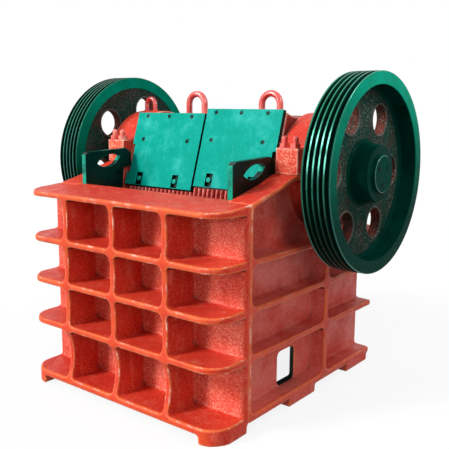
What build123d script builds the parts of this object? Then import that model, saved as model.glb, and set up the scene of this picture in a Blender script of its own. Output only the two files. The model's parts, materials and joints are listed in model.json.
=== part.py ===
from build123d import *

import os
from math import atan2, cos, degrees, hypot, radians, sin, tan

# Single-toggle jaw crusher with a feed opening of about 250 by 1000 mm.
# Millimetres, +Z up. X runs across the machine along the eccentric shaft, -Y is the feed side
# (the ribbed front wall), +Y the adjusting side. The origin is on the floor under the middle
# of the machine.

# Crushing chamber, which sets the width of everything else
chamber_half_width = 515
cheek_thickness = 30
liner_thickness = 60
tooth_height = 16
tooth_pitch = 30
gape = 237
discharge_gap = 62
liner_bottom_z = 190
face_below_shaft = 122
guard_joint = 8
lip_thickness = 24

# Frame castings
foot_height = 43
foot_width = 115
front_foot_length = 224
side_foot_length = 248
side_foot_rear_inset = 19
middle_foot_offset = 360
flange_thickness = 34
rib_thickness = 30
first_rib_z = 350
upper_rib_spacing = (0.3237, 0.6417)
top_flange_thickness = 25
front_below_shaft = 117
front_top_rise = 22
front_rib_depth = 190
front_plate_thickness = 88
front_wing_thickness = 48
front_wing_radius = 38
front_rib_pitch = 340
front_corner_radius = 120
front_pocket_radius = 26
front_pocket_draft = 1.5
scallop_depths = (28, 10, 10, 10)
side_plate_thickness = 50
side_rib_depth = 90
side_front_rib_thickness = 14
side_mid_rib_offset = 14
pocket_radius = 38
pocket_draft = 3
seat_front_margin = 2
seat_rear_margin = 12
rear_slope_run = 145
rear_plate_thickness = 40
rear_rib_depth = 120
rear_column_count = 4

# Side windows beside the discharge
window_offset = 45
window_width = 150
window_height = 182
window_radius = 28
window_reveal = 28
window_relief = 30

# Holding-down bolts
anchor_hole_radius = 17
anchor_side_inset = 55
anchor_front_inset = 107
anchor_rear_inset = 120

# Eccentric shaft and swing
shaft_z = 1162
eccentricity = 10
journal_radius = 100
wheel_seat_radius = 80
running_gap = 0.3
fit_gap = 0.1
swing_gap = 5

# Flywheels
wheel_radius = 495
wheel_width = 150
wheel_clearance = 44
rim_thickness = 65
rim_fillet = 14
web_thickness = 49
web_offset = 5
hub_radius = 140
hub_taper = 12
groove_count = 5
groove_half_top = 9.5
groove_half_floor = 5
groove_depth = 18
edge_land = 8.5
web_hole_count = 6
web_hole_rim_margin = 49
web_hole_hub_margin = 89
hole_phase_left = 75
hole_phase_right = 58
shaft_cover_radius = 92
shaft_cover_thickness = 18

# Bearing housings
cap_overlap = 5
cap_length = 190
cap_radius = 290
ear_inset = 21
ear_length = 53
ear_height = 125
stud_radius = 14
stud_stub_length = 60
stud_nut_flats = 46
stud_nut_height = 24
stud_side_inset = 31
stud_end_inset = 27
bearing_cover_radius = 190
bearing_cover_thickness = 22

# Cheek plates
cheek_split_z = 620
cheek_above_shaft = 84
cheek_front_drop = 24
cheek_nose = 22
cheek_nose_drop = 10
cheek_heel = 40
cheek_heel_drop = 26
cheek_barrel_gap = 40
cheek_step_gap = 20
cheek_step_rise = 95
cheek_step_slope = 10
cheek_neck = 38
cheek_foot_neck = 85
# Ends and bulges of the lifting slot, from the middle of the plate and down from its top
cheek_slot_front = (-85, -76)
cheek_slot_under = (12, -96)
cheek_slot_rear = (83, -43)
cheek_slot_over = (-6, -32)

# Swing jaw
jaw_side_gap = 10
barrel_radius = 285
jaw_slab_thickness = 45
jaw_rib_thickness = 30
jaw_rib_inner_x = 150
jaw_rib_edge_inset = 35
seal_thickness = 15
seal_gap = 5
seal_inset = 13

# Guard plates in front of the barrel
guard_tilt = 17.2
guard_thickness = 25
guard_length = 424
guard_step = 26
guard_gap_from_middle = 14
guard_barrel_gap = 5.56
guard_edge_gap = 12
guard_waist_gap = 6
guard_tab_gap = 14
guard_tab_top = 71
guard_waist_top = 236
guard_slot_width = 44
guard_slot_bottom = 4
guard_slot_top = 75
guard_slot_inner_x = 118
guard_slot_edge_inset = 111
guard_fixing_shift = -6
guard_bolt_radius = 9
guard_shank_radius = 6
guard_counterbore_radius = 12
guard_counterbore_depth = 12
guard_bolt_recess = 2
slot_bolt_radius = 13
slot_bolt_rise = 5
upper_bolt_drop = 20
lower_bolt_drop = 157
bracket_count = 6
bracket_thickness = 30
bracket_drop = 144
bracket_top_inset = 6
shoulder_drop = 124
end_bracket_thickness = 25
end_bracket_gap = 7
end_bracket_drop = 184

# Lifting eyes
jaw_eye_x = 262
jaw_eye_bar = 18
jaw_eye_outer = 77
jaw_eye_rise = 134
jaw_eye_boss_radius = 30
jaw_eye_boss_rise = 6
cap_eye_inset = 62
cap_eye_bar = 13
cap_eye_outer = 48
cap_eye_rise = 87
cap_eye_boss_radius = 20
cap_eye_boss_rise = 4

# Toggle and tension gear
toggle_setback = 230
toggle_front_rise = 128
toggle_rise = 112
toggle_end_radius = 22
toggle_web_thickness = 32
toggle_side_gap = 95
block_depth = 105
block_height = 110
block_overhang = 30
rod_radius = 18
rod_setback = 42
rod_eye_radius = 30
rod_end_length = 15
pin_radius = 14
pin_end_length = 4
lug_gap = 44
lug_thickness = 16
spring_radius = 42
spring_length = 68
spring_washer_radius = 50
spring_washer_thickness = 8

# Widths, outwards from the chamber
half_frame = chamber_half_width + side_plate_thickness + side_rib_depth
cheek_inner_x = chamber_half_width - cheek_thickness
jaw_half_width = cheek_inner_x - jaw_side_gap
cap_inner_x = chamber_half_width - cap_overlap
cap_outer_x = cap_inner_x + cap_length
ear_inner_x = cap_inner_x + ear_inset
ear_outer_x = half_frame
seal_outer_x = cap_inner_x - seal_gap
barrel_half_length = seal_outer_x - seal_thickness
wheel_inner_x = cap_outer_x + bearing_cover_thickness + wheel_clearance
wheel_outer_x = wheel_inner_x + wheel_width
web_inner_x = wheel_inner_x + web_offset
web_outer_x = web_inner_x + web_thickness
guard_outer_half_width = cap_inner_x - guard_edge_gap
guard_waist_half_width = cheek_inner_x - guard_waist_gap
guard_tab_half_width = chamber_half_width - guard_tab_gap
guard_slot_outer_x = guard_outer_half_width - guard_slot_edge_inset
bracket_pitch = 2 * guard_outer_half_width / bracket_count
toggle_half_width = jaw_half_width - toggle_side_gap
rear_rib_pitch = 2 * chamber_half_width / rear_column_count
rod_x = rear_rib_pitch / 2
anchor_x = half_frame - anchor_side_inset
cap_eye_x = cap_outer_x - cap_eye_inset

# Heights
flange_bottom_z = foot_height
flange_top_z = foot_height + flange_thickness
eccentric_z = shaft_z - eccentricity
front_top_z = shaft_z - front_below_shaft
rear_top_z = front_top_z
jaw_face_top_z = shaft_z - face_below_shaft
toggle_front_z = liner_bottom_z + toggle_front_rise
toggle_rear_z = toggle_front_z + toggle_rise
rod_z = liner_bottom_z
cheek_top_z = shaft_z + cheek_above_shaft
cheek_step_z = jaw_face_top_z + cheek_step_rise
jaw_eye_base_z = eccentric_z + barrel_radius + jaw_eye_boss_rise
jaw_eye_top_z = eccentric_z + barrel_radius + jaw_eye_rise
cap_eye_base_z = shaft_z + cap_radius + cap_eye_boss_rise
cap_eye_top_z = shaft_z + cap_radius + cap_eye_rise
pocket_top_z = front_top_z - top_flange_thickness
upper_height = front_top_z - first_rib_z
rib_levels = [first_rib_z] + [first_rib_z + share * upper_height for share in upper_rib_spacing]
half_rib = rib_thickness / 2
rib_edges = [flange_top_z]
for level in rib_levels:
    rib_edges += [level - half_rib, level + half_rib]
rib_edges += [pocket_top_z]
pocket_rows = [(rib_edges[i], rib_edges[i + 1]) for i in range(0, len(rib_edges), 2)]

# Radii that follow from others
eccentric_radius = journal_radius + 2 * eccentricity
rim_inner_radius = wheel_radius - rim_thickness
web_hole_radius = (rim_inner_radius - hub_radius - web_hole_rim_margin - web_hole_hub_margin) / 2
web_hole_pitch_radius = rim_inner_radius - web_hole_rim_margin - web_hole_radius
groove_pitch = (wheel_width - 2 * edge_land - 2 * groove_half_top) / (groove_count - 1)
seal_radius = barrel_radius - seal_inset
jaw_clearance = eccentricity + swing_gap

# Lengths along the machine, from the front face to the rear face
guard_up = (sin(radians(guard_tilt)), cos(radians(guard_tilt)))
guard_back = (guard_up[1], -guard_up[0])
ear_reach = cap_radius + ear_length
shaft_rise = eccentric_z - jaw_face_top_z
shaft_setback = (
    barrel_radius + guard_barrel_gap + guard_thickness + shaft_rise * guard_up[0]
) / guard_up[1]
fixed_face_depth = front_rib_depth + front_plate_thickness + liner_thickness
shaft_depth = fixed_face_depth + gape + shaft_setback
frame_length = shaft_depth + ear_reach + seat_rear_margin + rear_slope_run
frame_front_y = -frame_length / 2
frame_rear_y = frame_length / 2
front_root_y = frame_front_y + front_rib_depth
front_inner_y = front_root_y + front_plate_thickness
split_y = front_root_y + front_wing_thickness
shaft_y = frame_front_y + shaft_depth
seat_front_y = shaft_y - ear_reach - seat_front_margin
seat_rear_y = shaft_y + ear_reach + seat_rear_margin
side_mid_rib_y = shaft_y - side_mid_rib_offset
rear_root_y = frame_rear_y - rear_rib_depth
rear_plate_y = rear_root_y - rear_plate_thickness
jaw_face_top_y = frame_front_y + fixed_face_depth + gape
jaw_face_bottom_y = frame_front_y + fixed_face_depth + discharge_gap
cheek_rear_y = shaft_y - barrel_radius - cheek_barrel_gap
cheek_step_y = jaw_face_top_y - cheek_step_gap
toggle_front_y = jaw_face_bottom_y + toggle_setback
toggle_rear_y = rear_plate_y - block_depth
rod_front_y = toggle_front_y - rod_setback
window_y = toggle_front_y + window_offset
anchor_front_y = frame_front_y + anchor_front_inset
anchor_rear_y = frame_rear_y - anchor_rear_inset
front_slope = front_top_rise / (front_inner_y - frame_front_y)

# Side outline of the top edge of the side walls, from the front to the rear
side_top_line = [
    (split_y, front_top_z + front_slope * (split_y - frame_front_y)),
    (seat_front_y - 139, shaft_z - 45),
    (seat_front_y - 58, shaft_z - 16),
    (seat_front_y, shaft_z),
    (seat_rear_y, shaft_z),
    (frame_rear_y, front_top_z),
]

# Face of the moving jaw plate, as a line in the YZ plane
face_drop = jaw_face_top_z - liner_bottom_z
face_length = hypot(jaw_face_top_y - jaw_face_bottom_y, face_drop)
face_up = ((jaw_face_top_y - jaw_face_bottom_y) / face_length, face_drop / face_length)
face_back = (face_up[1], -face_up[0])


def side_plane(x):
    """Plane across X whose local axes are Y and Z."""
    return Plane(origin=(x, 0, 0), x_dir=(0, 1, 0), z_dir=(1, 0, 0))


def prism_x(points, x0, x1):
    """Outline in Y and Z drawn out from x0 to x1."""
    return extrude(side_plane(min(x0, x1)) * make_face(Polyline(*points, close=True)), abs(x1 - x0))


def box_between(x0, x1, y0, y1, z0, z1):
    """Block from its lowest and highest coordinates."""
    centre = Pos((x0 + x1) / 2, (y0 + y1) / 2, (z0 + z1) / 2)
    return centre * Box(abs(x1 - x0), abs(y1 - y0), abs(z1 - z0))


def rod_x_between(x0, x1, y, z, radius):
    """Round bar along X."""
    return Pos((x0 + x1) / 2, y, z) * Rot(0, 90, 0) * Cylinder(radius, abs(x1 - x0))


def rod_y_between(y0, y1, x, z, radius):
    """Round bar along Y."""
    return Pos(x, (y0 + y1) / 2, z) * Rot(90, 0, 0) * Cylinder(radius, abs(y1 - y0))


def mirror_x(shape, side):
    """The shape itself on the right, its mirror image on the left."""
    return shape if side > 0 else mirror(shape, about=Plane.YZ)


def jaw_point(up, back):
    """Point in Y and Z, measured up the moving jaw face from its lower edge and back from it."""
    y = jaw_face_bottom_y + face_up[0] * up + face_back[0] * back
    z = liner_bottom_z + face_up[1] * up + face_back[1] * back
    return (y, z)


def guard_point(up, back):
    """Point in Y and Z, measured up the guard plane from the jaw face's upper edge."""
    y = jaw_face_top_y + guard_up[0] * up + guard_back[0] * back
    z = jaw_face_top_z + guard_up[1] * up + guard_back[1] * back
    return (y, z)


# Frame walls

def front_pocket(x0, x1, z0, z1):
    """Drafted pocket with rounded corners, cut from the feed side."""
    mouth = Plane(
        origin=((x0 + x1) / 2, frame_front_y, (z0 + z1) / 2), x_dir=(1, 0, 0), z_dir=(0, 1, 0)
    )
    return extrude(
        mouth * RectangleRounded(x1 - x0, z1 - z0, front_pocket_radius),
        front_rib_depth,
        taper=front_pocket_draft,
    )


def wing_rounding(z0, z1, side):
    """What is cut from the outer upright edge of the plate behind the open outer pockets."""
    inset = front_rib_depth * tan(radians(front_pocket_draft))
    x0 = side * (half_frame - front_wing_radius)
    y1 = front_root_y + front_wing_radius
    block = box_between(x0, side * (half_frame + 1), front_root_y - 1, y1, z0 + inset, z1 - inset)
    return block - Pos(x0, y1, (z0 + z1) / 2) * Cylinder(front_wing_radius, z1 - z0)


def scallop(z0, z1, depth):
    """Shallow hollow along X that draws the front edges of the upright ribs back between levels."""
    half = (z1 - z0) / 2
    radius = (half**2 + depth**2) / (2 * depth)
    centre_y = frame_front_y + depth - radius
    return rod_x_between(-half_frame - 1, half_frame + 1, centre_y, (z0 + z1) / 2, radius)


def make_front_wall():
    with BuildSketch() as plan:
        with BuildLine():
            Polyline(
                (-half_frame, split_y),
                (-half_frame, frame_front_y),
                (half_frame, frame_front_y),
                (half_frame, split_y),
                (chamber_half_width, split_y),
                (chamber_half_width, front_inner_y),
                (-chamber_half_width, front_inner_y),
                (-chamber_half_width, split_y),
                close=True,
            )
        make_face()
        fillet(plan.vertices().group_by(Axis.Y)[0], front_corner_radius)
    side_view = prism_x(
        [
            (frame_front_y - 1, 0),
            (front_inner_y + 1, 0),
            (front_inner_y + 1, front_top_z + front_top_rise),
            (frame_front_y - 1, front_top_z),
        ],
        -half_frame,
        half_frame,
    )
    column = extrude(plan.sketch, front_top_z + front_top_rise)
    wall = column & side_view
    wall -= box_between(
        -half_frame + foot_width, half_frame - foot_width, frame_front_y, front_inner_y, 0, foot_height
    )
    wall -= box_between(
        -half_frame, half_frame, frame_front_y + front_foot_length, front_inner_y, 0, foot_height
    )
    outside = half_frame + 2 * front_pocket_radius
    columns = [
        (-outside, -front_rib_pitch - half_rib),
        (-front_rib_pitch + half_rib, -half_rib),
        (half_rib, front_rib_pitch - half_rib),
        (front_rib_pitch + half_rib, outside),
    ]
    for (z0, z1), depth in zip(pocket_rows, scallop_depths):
        for x0, x1 in columns:
            wall -= front_pocket(x0, x1, z0, z1)
        for side in (-1, 1):
            wall -= wing_rounding(z0, z1, side)
        wall -= scallop(z0, z1, depth)
    for x in (-anchor_x, anchor_x):
        wall -= Pos(x, anchor_front_y, flange_top_z / 2) * Cylinder(anchor_hole_radius, flange_top_z + 2)
    return wall


def side_pocket_outline(y0, y1, z0, z1, top_line=None):
    """Pocket outline in Y and Z; a top row follows the sloping flange."""
    if top_line is None:
        return [(y0, z0), (y1, z0), (y1, z1), (y0, z1)]
    return [(y0, z0), (y1, z0)] + top_line


def flange_height(y):
    """Underside of the side wall's top flange at a place along Y."""
    for (ya, za), (yb, zb) in zip(side_top_line, side_top_line[1:]):
        if ya <= y <= yb:
            return za + (zb - za) * (y - ya) / (yb - ya) - top_flange_thickness
    return side_top_line[-1][1] - top_flange_thickness


def side_pocket(points):
    """Drafted pocket with rounded corners, cut from the outside of the right wall."""
    outline = make_face(Polyline(*points, close=True))
    outline = fillet(outline.vertices(), pocket_radius)
    mouth = Plane(origin=(half_frame, 0, 0), x_dir=(0, -1, 0), z_dir=(-1, 0, 0))
    turned = mirror(outline, about=Plane.YZ)
    return extrude(mouth * turned, side_rib_depth, taper=pocket_draft)


def make_side_wall(side):
    outline = [(split_y, flange_bottom_z), (frame_rear_y, flange_bottom_z)] + side_top_line[::-1]
    wall = prism_x(outline, chamber_half_width, half_frame)
    front_y0 = split_y + side_front_rib_thickness
    front_y1 = side_mid_rib_y - half_rib
    rear_y0 = side_mid_rib_y + half_rib
    rear_y1 = frame_rear_y + 2 * pocket_radius
    for z0, z1 in pocket_rows[:-1]:
        wall -= side_pocket(side_pocket_outline(front_y0, front_y1, z0, z1))
        wall -= side_pocket(side_pocket_outline(rear_y0, rear_y1, z0, z1))
    z0 = pocket_rows[-1][0]
    front_top = [
        (front_y1, shaft_z - top_flange_thickness),
        (seat_front_y, shaft_z - top_flange_thickness),
        (front_y0, flange_height(front_y0)),
    ]
    wall -= side_pocket(side_pocket_outline(front_y0, front_y1, z0, 0, front_top))
    rear_top = [
        (rear_y1, flange_height(frame_rear_y)),
        (seat_rear_y, shaft_z - top_flange_thickness),
        (rear_y0, shaft_z - top_flange_thickness),
    ]
    wall -= side_pocket(side_pocket_outline(rear_y0, rear_y1, z0, 0, rear_top))
    # Lower half of the bearing housing
    housing = rod_x_between(chamber_half_width, cap_outer_x, shaft_y, shaft_z, cap_radius)
    housing &= box_between(
        chamber_half_width, cap_outer_x, shaft_y - cap_radius, shaft_y + cap_radius, 0, shaft_z
    )
    wall += housing
    wall -= rod_x_between(
        chamber_half_width - 1, cap_outer_x + 1, shaft_y, shaft_z, journal_radius + running_gap
    )
    window = Pos(window_y, flange_top_z + window_height / 2) * RectangleRounded(
        window_width, window_height, window_radius
    )
    wall -= extrude(side_plane(chamber_half_width - 1) * window, side_plate_thickness + 2)
    wall -= box_between(
        chamber_half_width - 1,
        chamber_half_width + side_plate_thickness - window_reveal,
        window_y - window_width / 2 - window_relief,
        window_y + window_width / 2 + window_relief,
        flange_top_z,
        flange_top_z + window_height + window_relief,
    )
    rear_foot_y = frame_rear_y - side_foot_rear_inset - side_foot_length
    for y0 in (shaft_y - middle_foot_offset, rear_foot_y):
        wall += box_between(
            half_frame - foot_width, half_frame, y0, y0 + side_foot_length, 0, foot_height
        )
    wall -= Pos(anchor_x, anchor_rear_y, flange_top_z / 2) * Cylinder(
        anchor_hole_radius, flange_top_z + 2
    )
    return mirror_x(wall, side)


def make_rear_wall():
    wall = box_between(
        -chamber_half_width, chamber_half_width, rear_plate_y, frame_rear_y, flange_bottom_z, rear_top_z
    )
    for z0, z1 in pocket_rows:
        for i in range(rear_column_count):
            x = (i - (rear_column_count - 1) / 2) * rear_rib_pitch
            mouth = Plane(origin=(x, frame_rear_y, (z0 + z1) / 2), x_dir=(1, 0, 0), z_dir=(0, -1, 0))
            wall -= extrude(
                mouth * RectangleRounded(rear_rib_pitch - rib_thickness, z1 - z0, pocket_radius),
                rear_rib_depth,
                taper=pocket_draft,
            )
    # Slots that let the tension rods follow the swing
    for x in (-rod_x, rod_x):
        wall -= box_between(
            x - rod_radius - swing_gap - 1,
            x + rod_radius + swing_gap + 1,
            rear_plate_y - 1,
            rear_root_y + 1,
            rod_z - rod_radius - swing_gap - 1,
            rod_z + rod_radius + 2 * eccentricity + swing_gap + 1,
        )
    return wall


# Chamber liners

def toothed_face(half_width, reverse=False):
    """Cross-section of a jaw plate in X and thickness: a flat back and upright teeth."""
    count = int(2 * half_width // tooth_pitch)
    start = -count * tooth_pitch / 2
    root = liner_thickness - tooth_height
    points = [(half_width, 0), (half_width, root)]
    for i in range(count, 0, -1):
        x = start + i * tooth_pitch
        points += [
            (x - 0.12 * tooth_pitch, root),
            (x - 0.36 * tooth_pitch, liner_thickness),
            (x - 0.64 * tooth_pitch, liner_thickness),
            (x - 0.88 * tooth_pitch, root),
        ]
    points += [(-half_width, root), (-half_width, 0)]
    return make_face(Polyline(*points, close=True))


def make_fixed_jaw_plate():
    base = Plane(origin=(0, front_inner_y, liner_bottom_z), x_dir=(1, 0, 0), z_dir=(0, 0, 1))
    return extrude(base * toothed_face(cheek_inner_x - 1), jaw_face_top_z - liner_bottom_z)


def make_moving_jaw_plate():
    """Toothed plate; its lip rises to the higher one of the two guard plates."""
    y, z = jaw_point(0, liner_thickness)
    base = Plane(origin=(0, y, z), x_dir=(-1, 0, 0), z_dir=(0, face_up[0], face_up[1]))
    section = toothed_face(jaw_half_width)
    length = face_length - guard_joint
    lip_width = jaw_half_width - guard_gap_from_middle
    lip = Pos(
        -guard_gap_from_middle - lip_width / 2, liner_thickness - lip_thickness / 2
    ) * Rectangle(lip_width, lip_thickness)
    plate = extrude(base * section, length)
    plate += extrude(base * (section & lip), length + guard_step)
    return plate


def make_cheek_upper(side):
    points = [
        (front_inner_y, cheek_split_z),
        (front_inner_y, cheek_top_z - cheek_front_drop),
        (front_inner_y + cheek_nose, cheek_top_z - cheek_nose_drop),
        (cheek_rear_y - cheek_heel, cheek_top_z),
        (cheek_rear_y, cheek_top_z - cheek_heel_drop),
        (cheek_rear_y, cheek_step_z + cheek_step_slope),
        (cheek_step_y, cheek_step_z),
        (cheek_step_y - cheek_neck, cheek_split_z),
    ]
    plate = prism_x(points, cheek_inner_x, chamber_half_width)
    middle_y = (front_inner_y + cheek_rear_y) / 2
    front, under, rear, over = [
        (middle_y + y, cheek_top_z + z)
        for y, z in (cheek_slot_front, cheek_slot_under, cheek_slot_rear, cheek_slot_over)
    ]
    slot = make_face(ThreePointArc(front, under, rear) + ThreePointArc(rear, over, front))
    plate -= extrude(side_plane(cheek_inner_x - 1) * slot, cheek_thickness + 2)
    return mirror_x(plate, side)


def make_cheek_lower(side):
    points = [
        (front_inner_y, liner_bottom_z),
        (front_inner_y, cheek_split_z),
        (cheek_step_y - cheek_neck, cheek_split_z),
        (cheek_step_y - cheek_foot_neck, liner_bottom_z),
    ]
    return mirror_x(prism_x(points, cheek_inner_x, chamber_half_width), side)


# Swing jaw and what it carries

def guard_rise(x):
    """How far the guard plate on this side stands above the other one."""
    return guard_step if x > 0 else 0


def bracket_places():
    """Places across the machine of the brackets behind the guard plates."""
    first = guard_fixing_shift - (bracket_count - 1) / 2 * bracket_pitch
    return [first + i * bracket_pitch for i in range(bracket_count)]


def guard_bracket(low, rise):
    """Outline of a bracket from the barrel to the back of a guard plate."""
    return [
        guard_point(low, guard_thickness),
        guard_point(guard_length + rise - bracket_top_inset, guard_thickness),
        (shaft_y - 150, eccentric_z + 284),
        (shaft_y - 60, eccentric_z + 276),
        (shaft_y - 160, eccentric_z + 138),
    ]


def make_swing_jaw():
    jaw = rod_x_between(-barrel_half_length, barrel_half_length, shaft_y, eccentric_z, barrel_radius)
    slab_back = liner_thickness + jaw_slab_thickness
    slab = [
        jaw_point(0, liner_thickness),
        jaw_point(face_length, liner_thickness),
        jaw_point(face_length, slab_back),
        jaw_point(0, slab_back),
    ]
    jaw += prism_x(slab, -jaw_half_width, jaw_half_width)
    # Body between the slab, the guard plates and the barrel
    shoulder = [
        jaw_point(face_length, liner_thickness),
        guard_point(0, guard_thickness),
        guard_point(guard_length - shoulder_drop, guard_thickness),
        (shaft_y - 160, eccentric_z + 228),
        (shaft_y - 70, eccentric_z - 252),
        (jaw_face_top_y + 105, jaw_face_top_z - 110),
    ]
    jaw += prism_x(shoulder, -jaw_half_width, jaw_half_width)
    # Toggle seat boss across the foot
    boss = [
        jaw_point(10, slab_back - 1),
        (toggle_front_y - 86, toggle_front_z - 86),
        (toggle_front_y - 38, toggle_front_z - 53),
        (toggle_front_y - 38, toggle_front_z + 67),
        (toggle_front_y - 80, toggle_front_z + 152),
        jaw_point(300, slab_back - 1),
    ]
    jaw += prism_x(boss, -jaw_half_width, jaw_half_width)
    rib = [
        jaw_point(250, slab_back - 1),
        (toggle_front_y - 60, toggle_front_z + 67),
        (shaft_y - 20, eccentric_z - 262),
        (shaft_y - 120, eccentric_z - 152),
        jaw_point(face_length - 60, slab_back - 1),
    ]
    jaw_rib_outer_x = jaw_half_width - jaw_rib_edge_inset
    for x in (-jaw_rib_outer_x, -jaw_rib_inner_x, jaw_rib_inner_x, jaw_rib_outer_x):
        jaw += prism_x(rib, x - jaw_rib_thickness / 2, x + jaw_rib_thickness / 2)
    for x in bracket_places():
        outline = guard_bracket(guard_length - bracket_drop, guard_rise(x))
        jaw += prism_x(outline, x - bracket_thickness / 2, x + bracket_thickness / 2)
    # Upright bands beside the guard plates, clear of the seals
    end_x = cap_inner_x - end_bracket_gap
    for side in (-1, 1):
        outline = guard_bracket(guard_length - end_bracket_drop, guard_rise(side))
        band = prism_x(outline, side * (end_x - end_bracket_thickness), side * end_x)
        jaw += band - rod_x_between(
            side * barrel_half_length, side * (end_x + 1), shaft_y, eccentric_z, seal_radius + 1
        )
    for x in (-jaw_eye_x, jaw_eye_x):
        for leg in (-1, 1):
            foot = x + leg * (jaw_eye_outer - jaw_eye_bar)
            jaw += Pos(foot, shaft_y, jaw_eye_base_z - 20) * Cylinder(jaw_eye_boss_radius, 40)
    # Pairs of lugs that hold the tension rods' pins
    lug = [(-80, 10), (-33, -30), (26, -30), (32, 15), (-3, 85), (-68, 85)]
    lug = [(rod_front_y + y, rod_z + z) for y, z in lug]
    for x in (-rod_x, rod_x):
        for side in (-1, 1):
            jaw += prism_x(lug, x + side * lug_gap / 2, x + side * (lug_gap / 2 + lug_thickness))
        jaw -= rod_x_between(x - lug_gap, x + lug_gap, rod_front_y, rod_z, pin_radius + running_gap)
    jaw -= rod_x_between(
        -barrel_half_length - 1,
        barrel_half_length + 1,
        shaft_y,
        eccentric_z,
        eccentric_radius + fit_gap,
    )
    return jaw


def make_jaw_seal(side):
    ring = rod_x_between(barrel_half_length, seal_outer_x, shaft_y, eccentric_z, seal_radius)
    ring -= rod_x_between(
        barrel_half_length - 1,
        seal_outer_x + 1,
        shaft_y,
        eccentric_z,
        journal_radius + 3 * eccentricity,
    )
    return mirror_x(ring, side)


def guard_plane():
    return Plane(
        origin=(0, jaw_face_top_y, jaw_face_top_z),
        x_dir=(1, 0, 0),
        z_dir=(0, -guard_back[0], -guard_back[1]),
    )


def bolt_spots(side):
    """Places of the recessed bolts, across the machine and up the guard plane."""
    rise = guard_rise(side)
    uppers = [x for x in bracket_places() if x * side > 0]
    spots = [(x, guard_length - upper_bolt_drop + rise) for x in uppers]
    spots += [(x, guard_length - lower_bolt_drop + rise / 2) for x in (uppers[0], uppers[-1])]
    return spots


def slot_places(side):
    """Middles of the two slots in a guard plate, across the machine."""
    return [guard_fixing_shift + side * x for x in (guard_slot_inner_x, guard_slot_outer_x)]


def slot_middle(side):
    return (guard_slot_bottom + guard_slot_top) / 2 + guard_rise(side)


def make_guard_plate(side):
    bottom = guard_rise(side)
    inner = guard_gap_from_middle if side > 0 else 0
    top = guard_length + bottom
    points = [
        (inner, bottom),
        (guard_tab_half_width, bottom),
        (guard_tab_half_width, guard_tab_top),
        (guard_waist_half_width, guard_tab_top),
        (guard_waist_half_width, guard_waist_top),
        (guard_outer_half_width, guard_waist_top),
        (guard_outer_half_width, top),
        (inner, top),
    ]
    outline = make_face(Polyline(*[(side * x, s) for x, s in points], close=True))
    for x in slot_places(side):
        outline -= Pos(x, slot_middle(side)) * Rectangle(
            guard_slot_width, guard_slot_top - guard_slot_bottom
        )
    for x, s in bolt_spots(side):
        outline -= Pos(x, s) * Circle(guard_shank_radius + running_gap)
    plate = extrude(guard_plane() * outline, -guard_thickness)
    for x, s in bolt_spots(side):
        recess = guard_plane() * Pos(x, s) * Circle(guard_counterbore_radius)
        plate -= extrude(recess, -guard_counterbore_depth)
    return plate


def make_guard_bolts(side):
    """Bolts in the counterbores, and the plain ones that stand in the slots."""
    bolts = []
    for x, s in bolt_spots(side):
        floor = Pos(0, 0, -guard_counterbore_depth)
        head = extrude(
            guard_plane() * Pos(x, s) * floor * Circle(guard_bolt_radius),
            guard_counterbore_depth - guard_bolt_recess,
        )
        shank = extrude(
            guard_plane() * Pos(x, s) * floor * Circle(guard_shank_radius),
            guard_counterbore_depth - guard_thickness,
        )
        bolts.append(head + shank)
    for x in slot_places(side):
        seat = Pos(x, slot_middle(side), -guard_thickness)
        bolts.append(
            extrude(guard_plane() * seat * Circle(slot_bolt_radius), guard_thickness + slot_bolt_rise)
        )
    return Compound(children=bolts)


def make_eye(x, y, base_z, top_z, outer, bar):
    """Lifting eye: a round bar bent over to an arch that stands on its two ends."""
    centre_z = top_z - outer
    reach = outer - bar
    eye = Pos(x, y, centre_z) * Rot(90, 0, 0) * Torus(reach, bar)
    eye &= box_between(x - outer, x + outer, y - bar, y + bar, centre_z, top_z)
    for leg in (-1, 1):
        eye += Pos(x + leg * reach, y, (base_z + centre_z) / 2) * Cylinder(bar, centre_z - base_z)
    return eye


# Rotor

def make_eccentric_shaft():
    shaft = rod_x_between(-wheel_outer_x, wheel_outer_x, shaft_y, shaft_z, wheel_seat_radius)
    shaft += rod_x_between(-wheel_inner_x, wheel_inner_x, shaft_y, shaft_z, journal_radius)
    shaft += rod_x_between(
        -barrel_half_length, barrel_half_length, shaft_y, eccentric_z, eccentric_radius
    )
    return shaft


def make_flywheel(side, phase):
    """Flywheel with V-belt grooves, turned about the shaft; its open dish faces outwards."""
    middle = wheel_inner_x + wheel_width / 2
    rim = [(wheel_inner_x, rim_inner_radius), (wheel_inner_x, wheel_radius)]
    for i in range(groove_count):
        x = middle + (i - (groove_count - 1) / 2) * groove_pitch
        rim += [
            (x - groove_half_top, wheel_radius),
            (x - groove_half_floor, wheel_radius - groove_depth),
            (x + groove_half_floor, wheel_radius - groove_depth),
            (x + groove_half_top, wheel_radius),
        ]
    rim += [(wheel_outer_x, wheel_radius), (wheel_outer_x, rim_inner_radius)]
    hub = [
        (web_outer_x + rim_fillet, rim_inner_radius),
        (web_outer_x, rim_inner_radius - rim_fillet),
        (web_outer_x, hub_radius + hub_taper),
        (wheel_outer_x, hub_radius),
        (wheel_outer_x, wheel_seat_radius + fit_gap),
        (wheel_inner_x, wheel_seat_radius + fit_gap),
        (wheel_inner_x, hub_radius),
        (web_inner_x, hub_radius + hub_taper),
        (web_inner_x, rim_inner_radius),
    ]
    section = make_face(Polyline(*rim, *hub, close=True))
    wheel = revolve(Plane.XY * section, Axis.X)
    wheel = Pos(0, shaft_y, shaft_z) * wheel
    for i in range(web_hole_count):
        angle = radians(phase + i * 360 / web_hole_count)
        y = shaft_y + web_hole_pitch_radius * cos(angle)
        z = shaft_z + web_hole_pitch_radius * sin(angle)
        wheel -= rod_x_between(wheel_inner_x - 1, wheel_outer_x + 1, y, z, web_hole_radius)
    return mirror_x(wheel, side)


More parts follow.
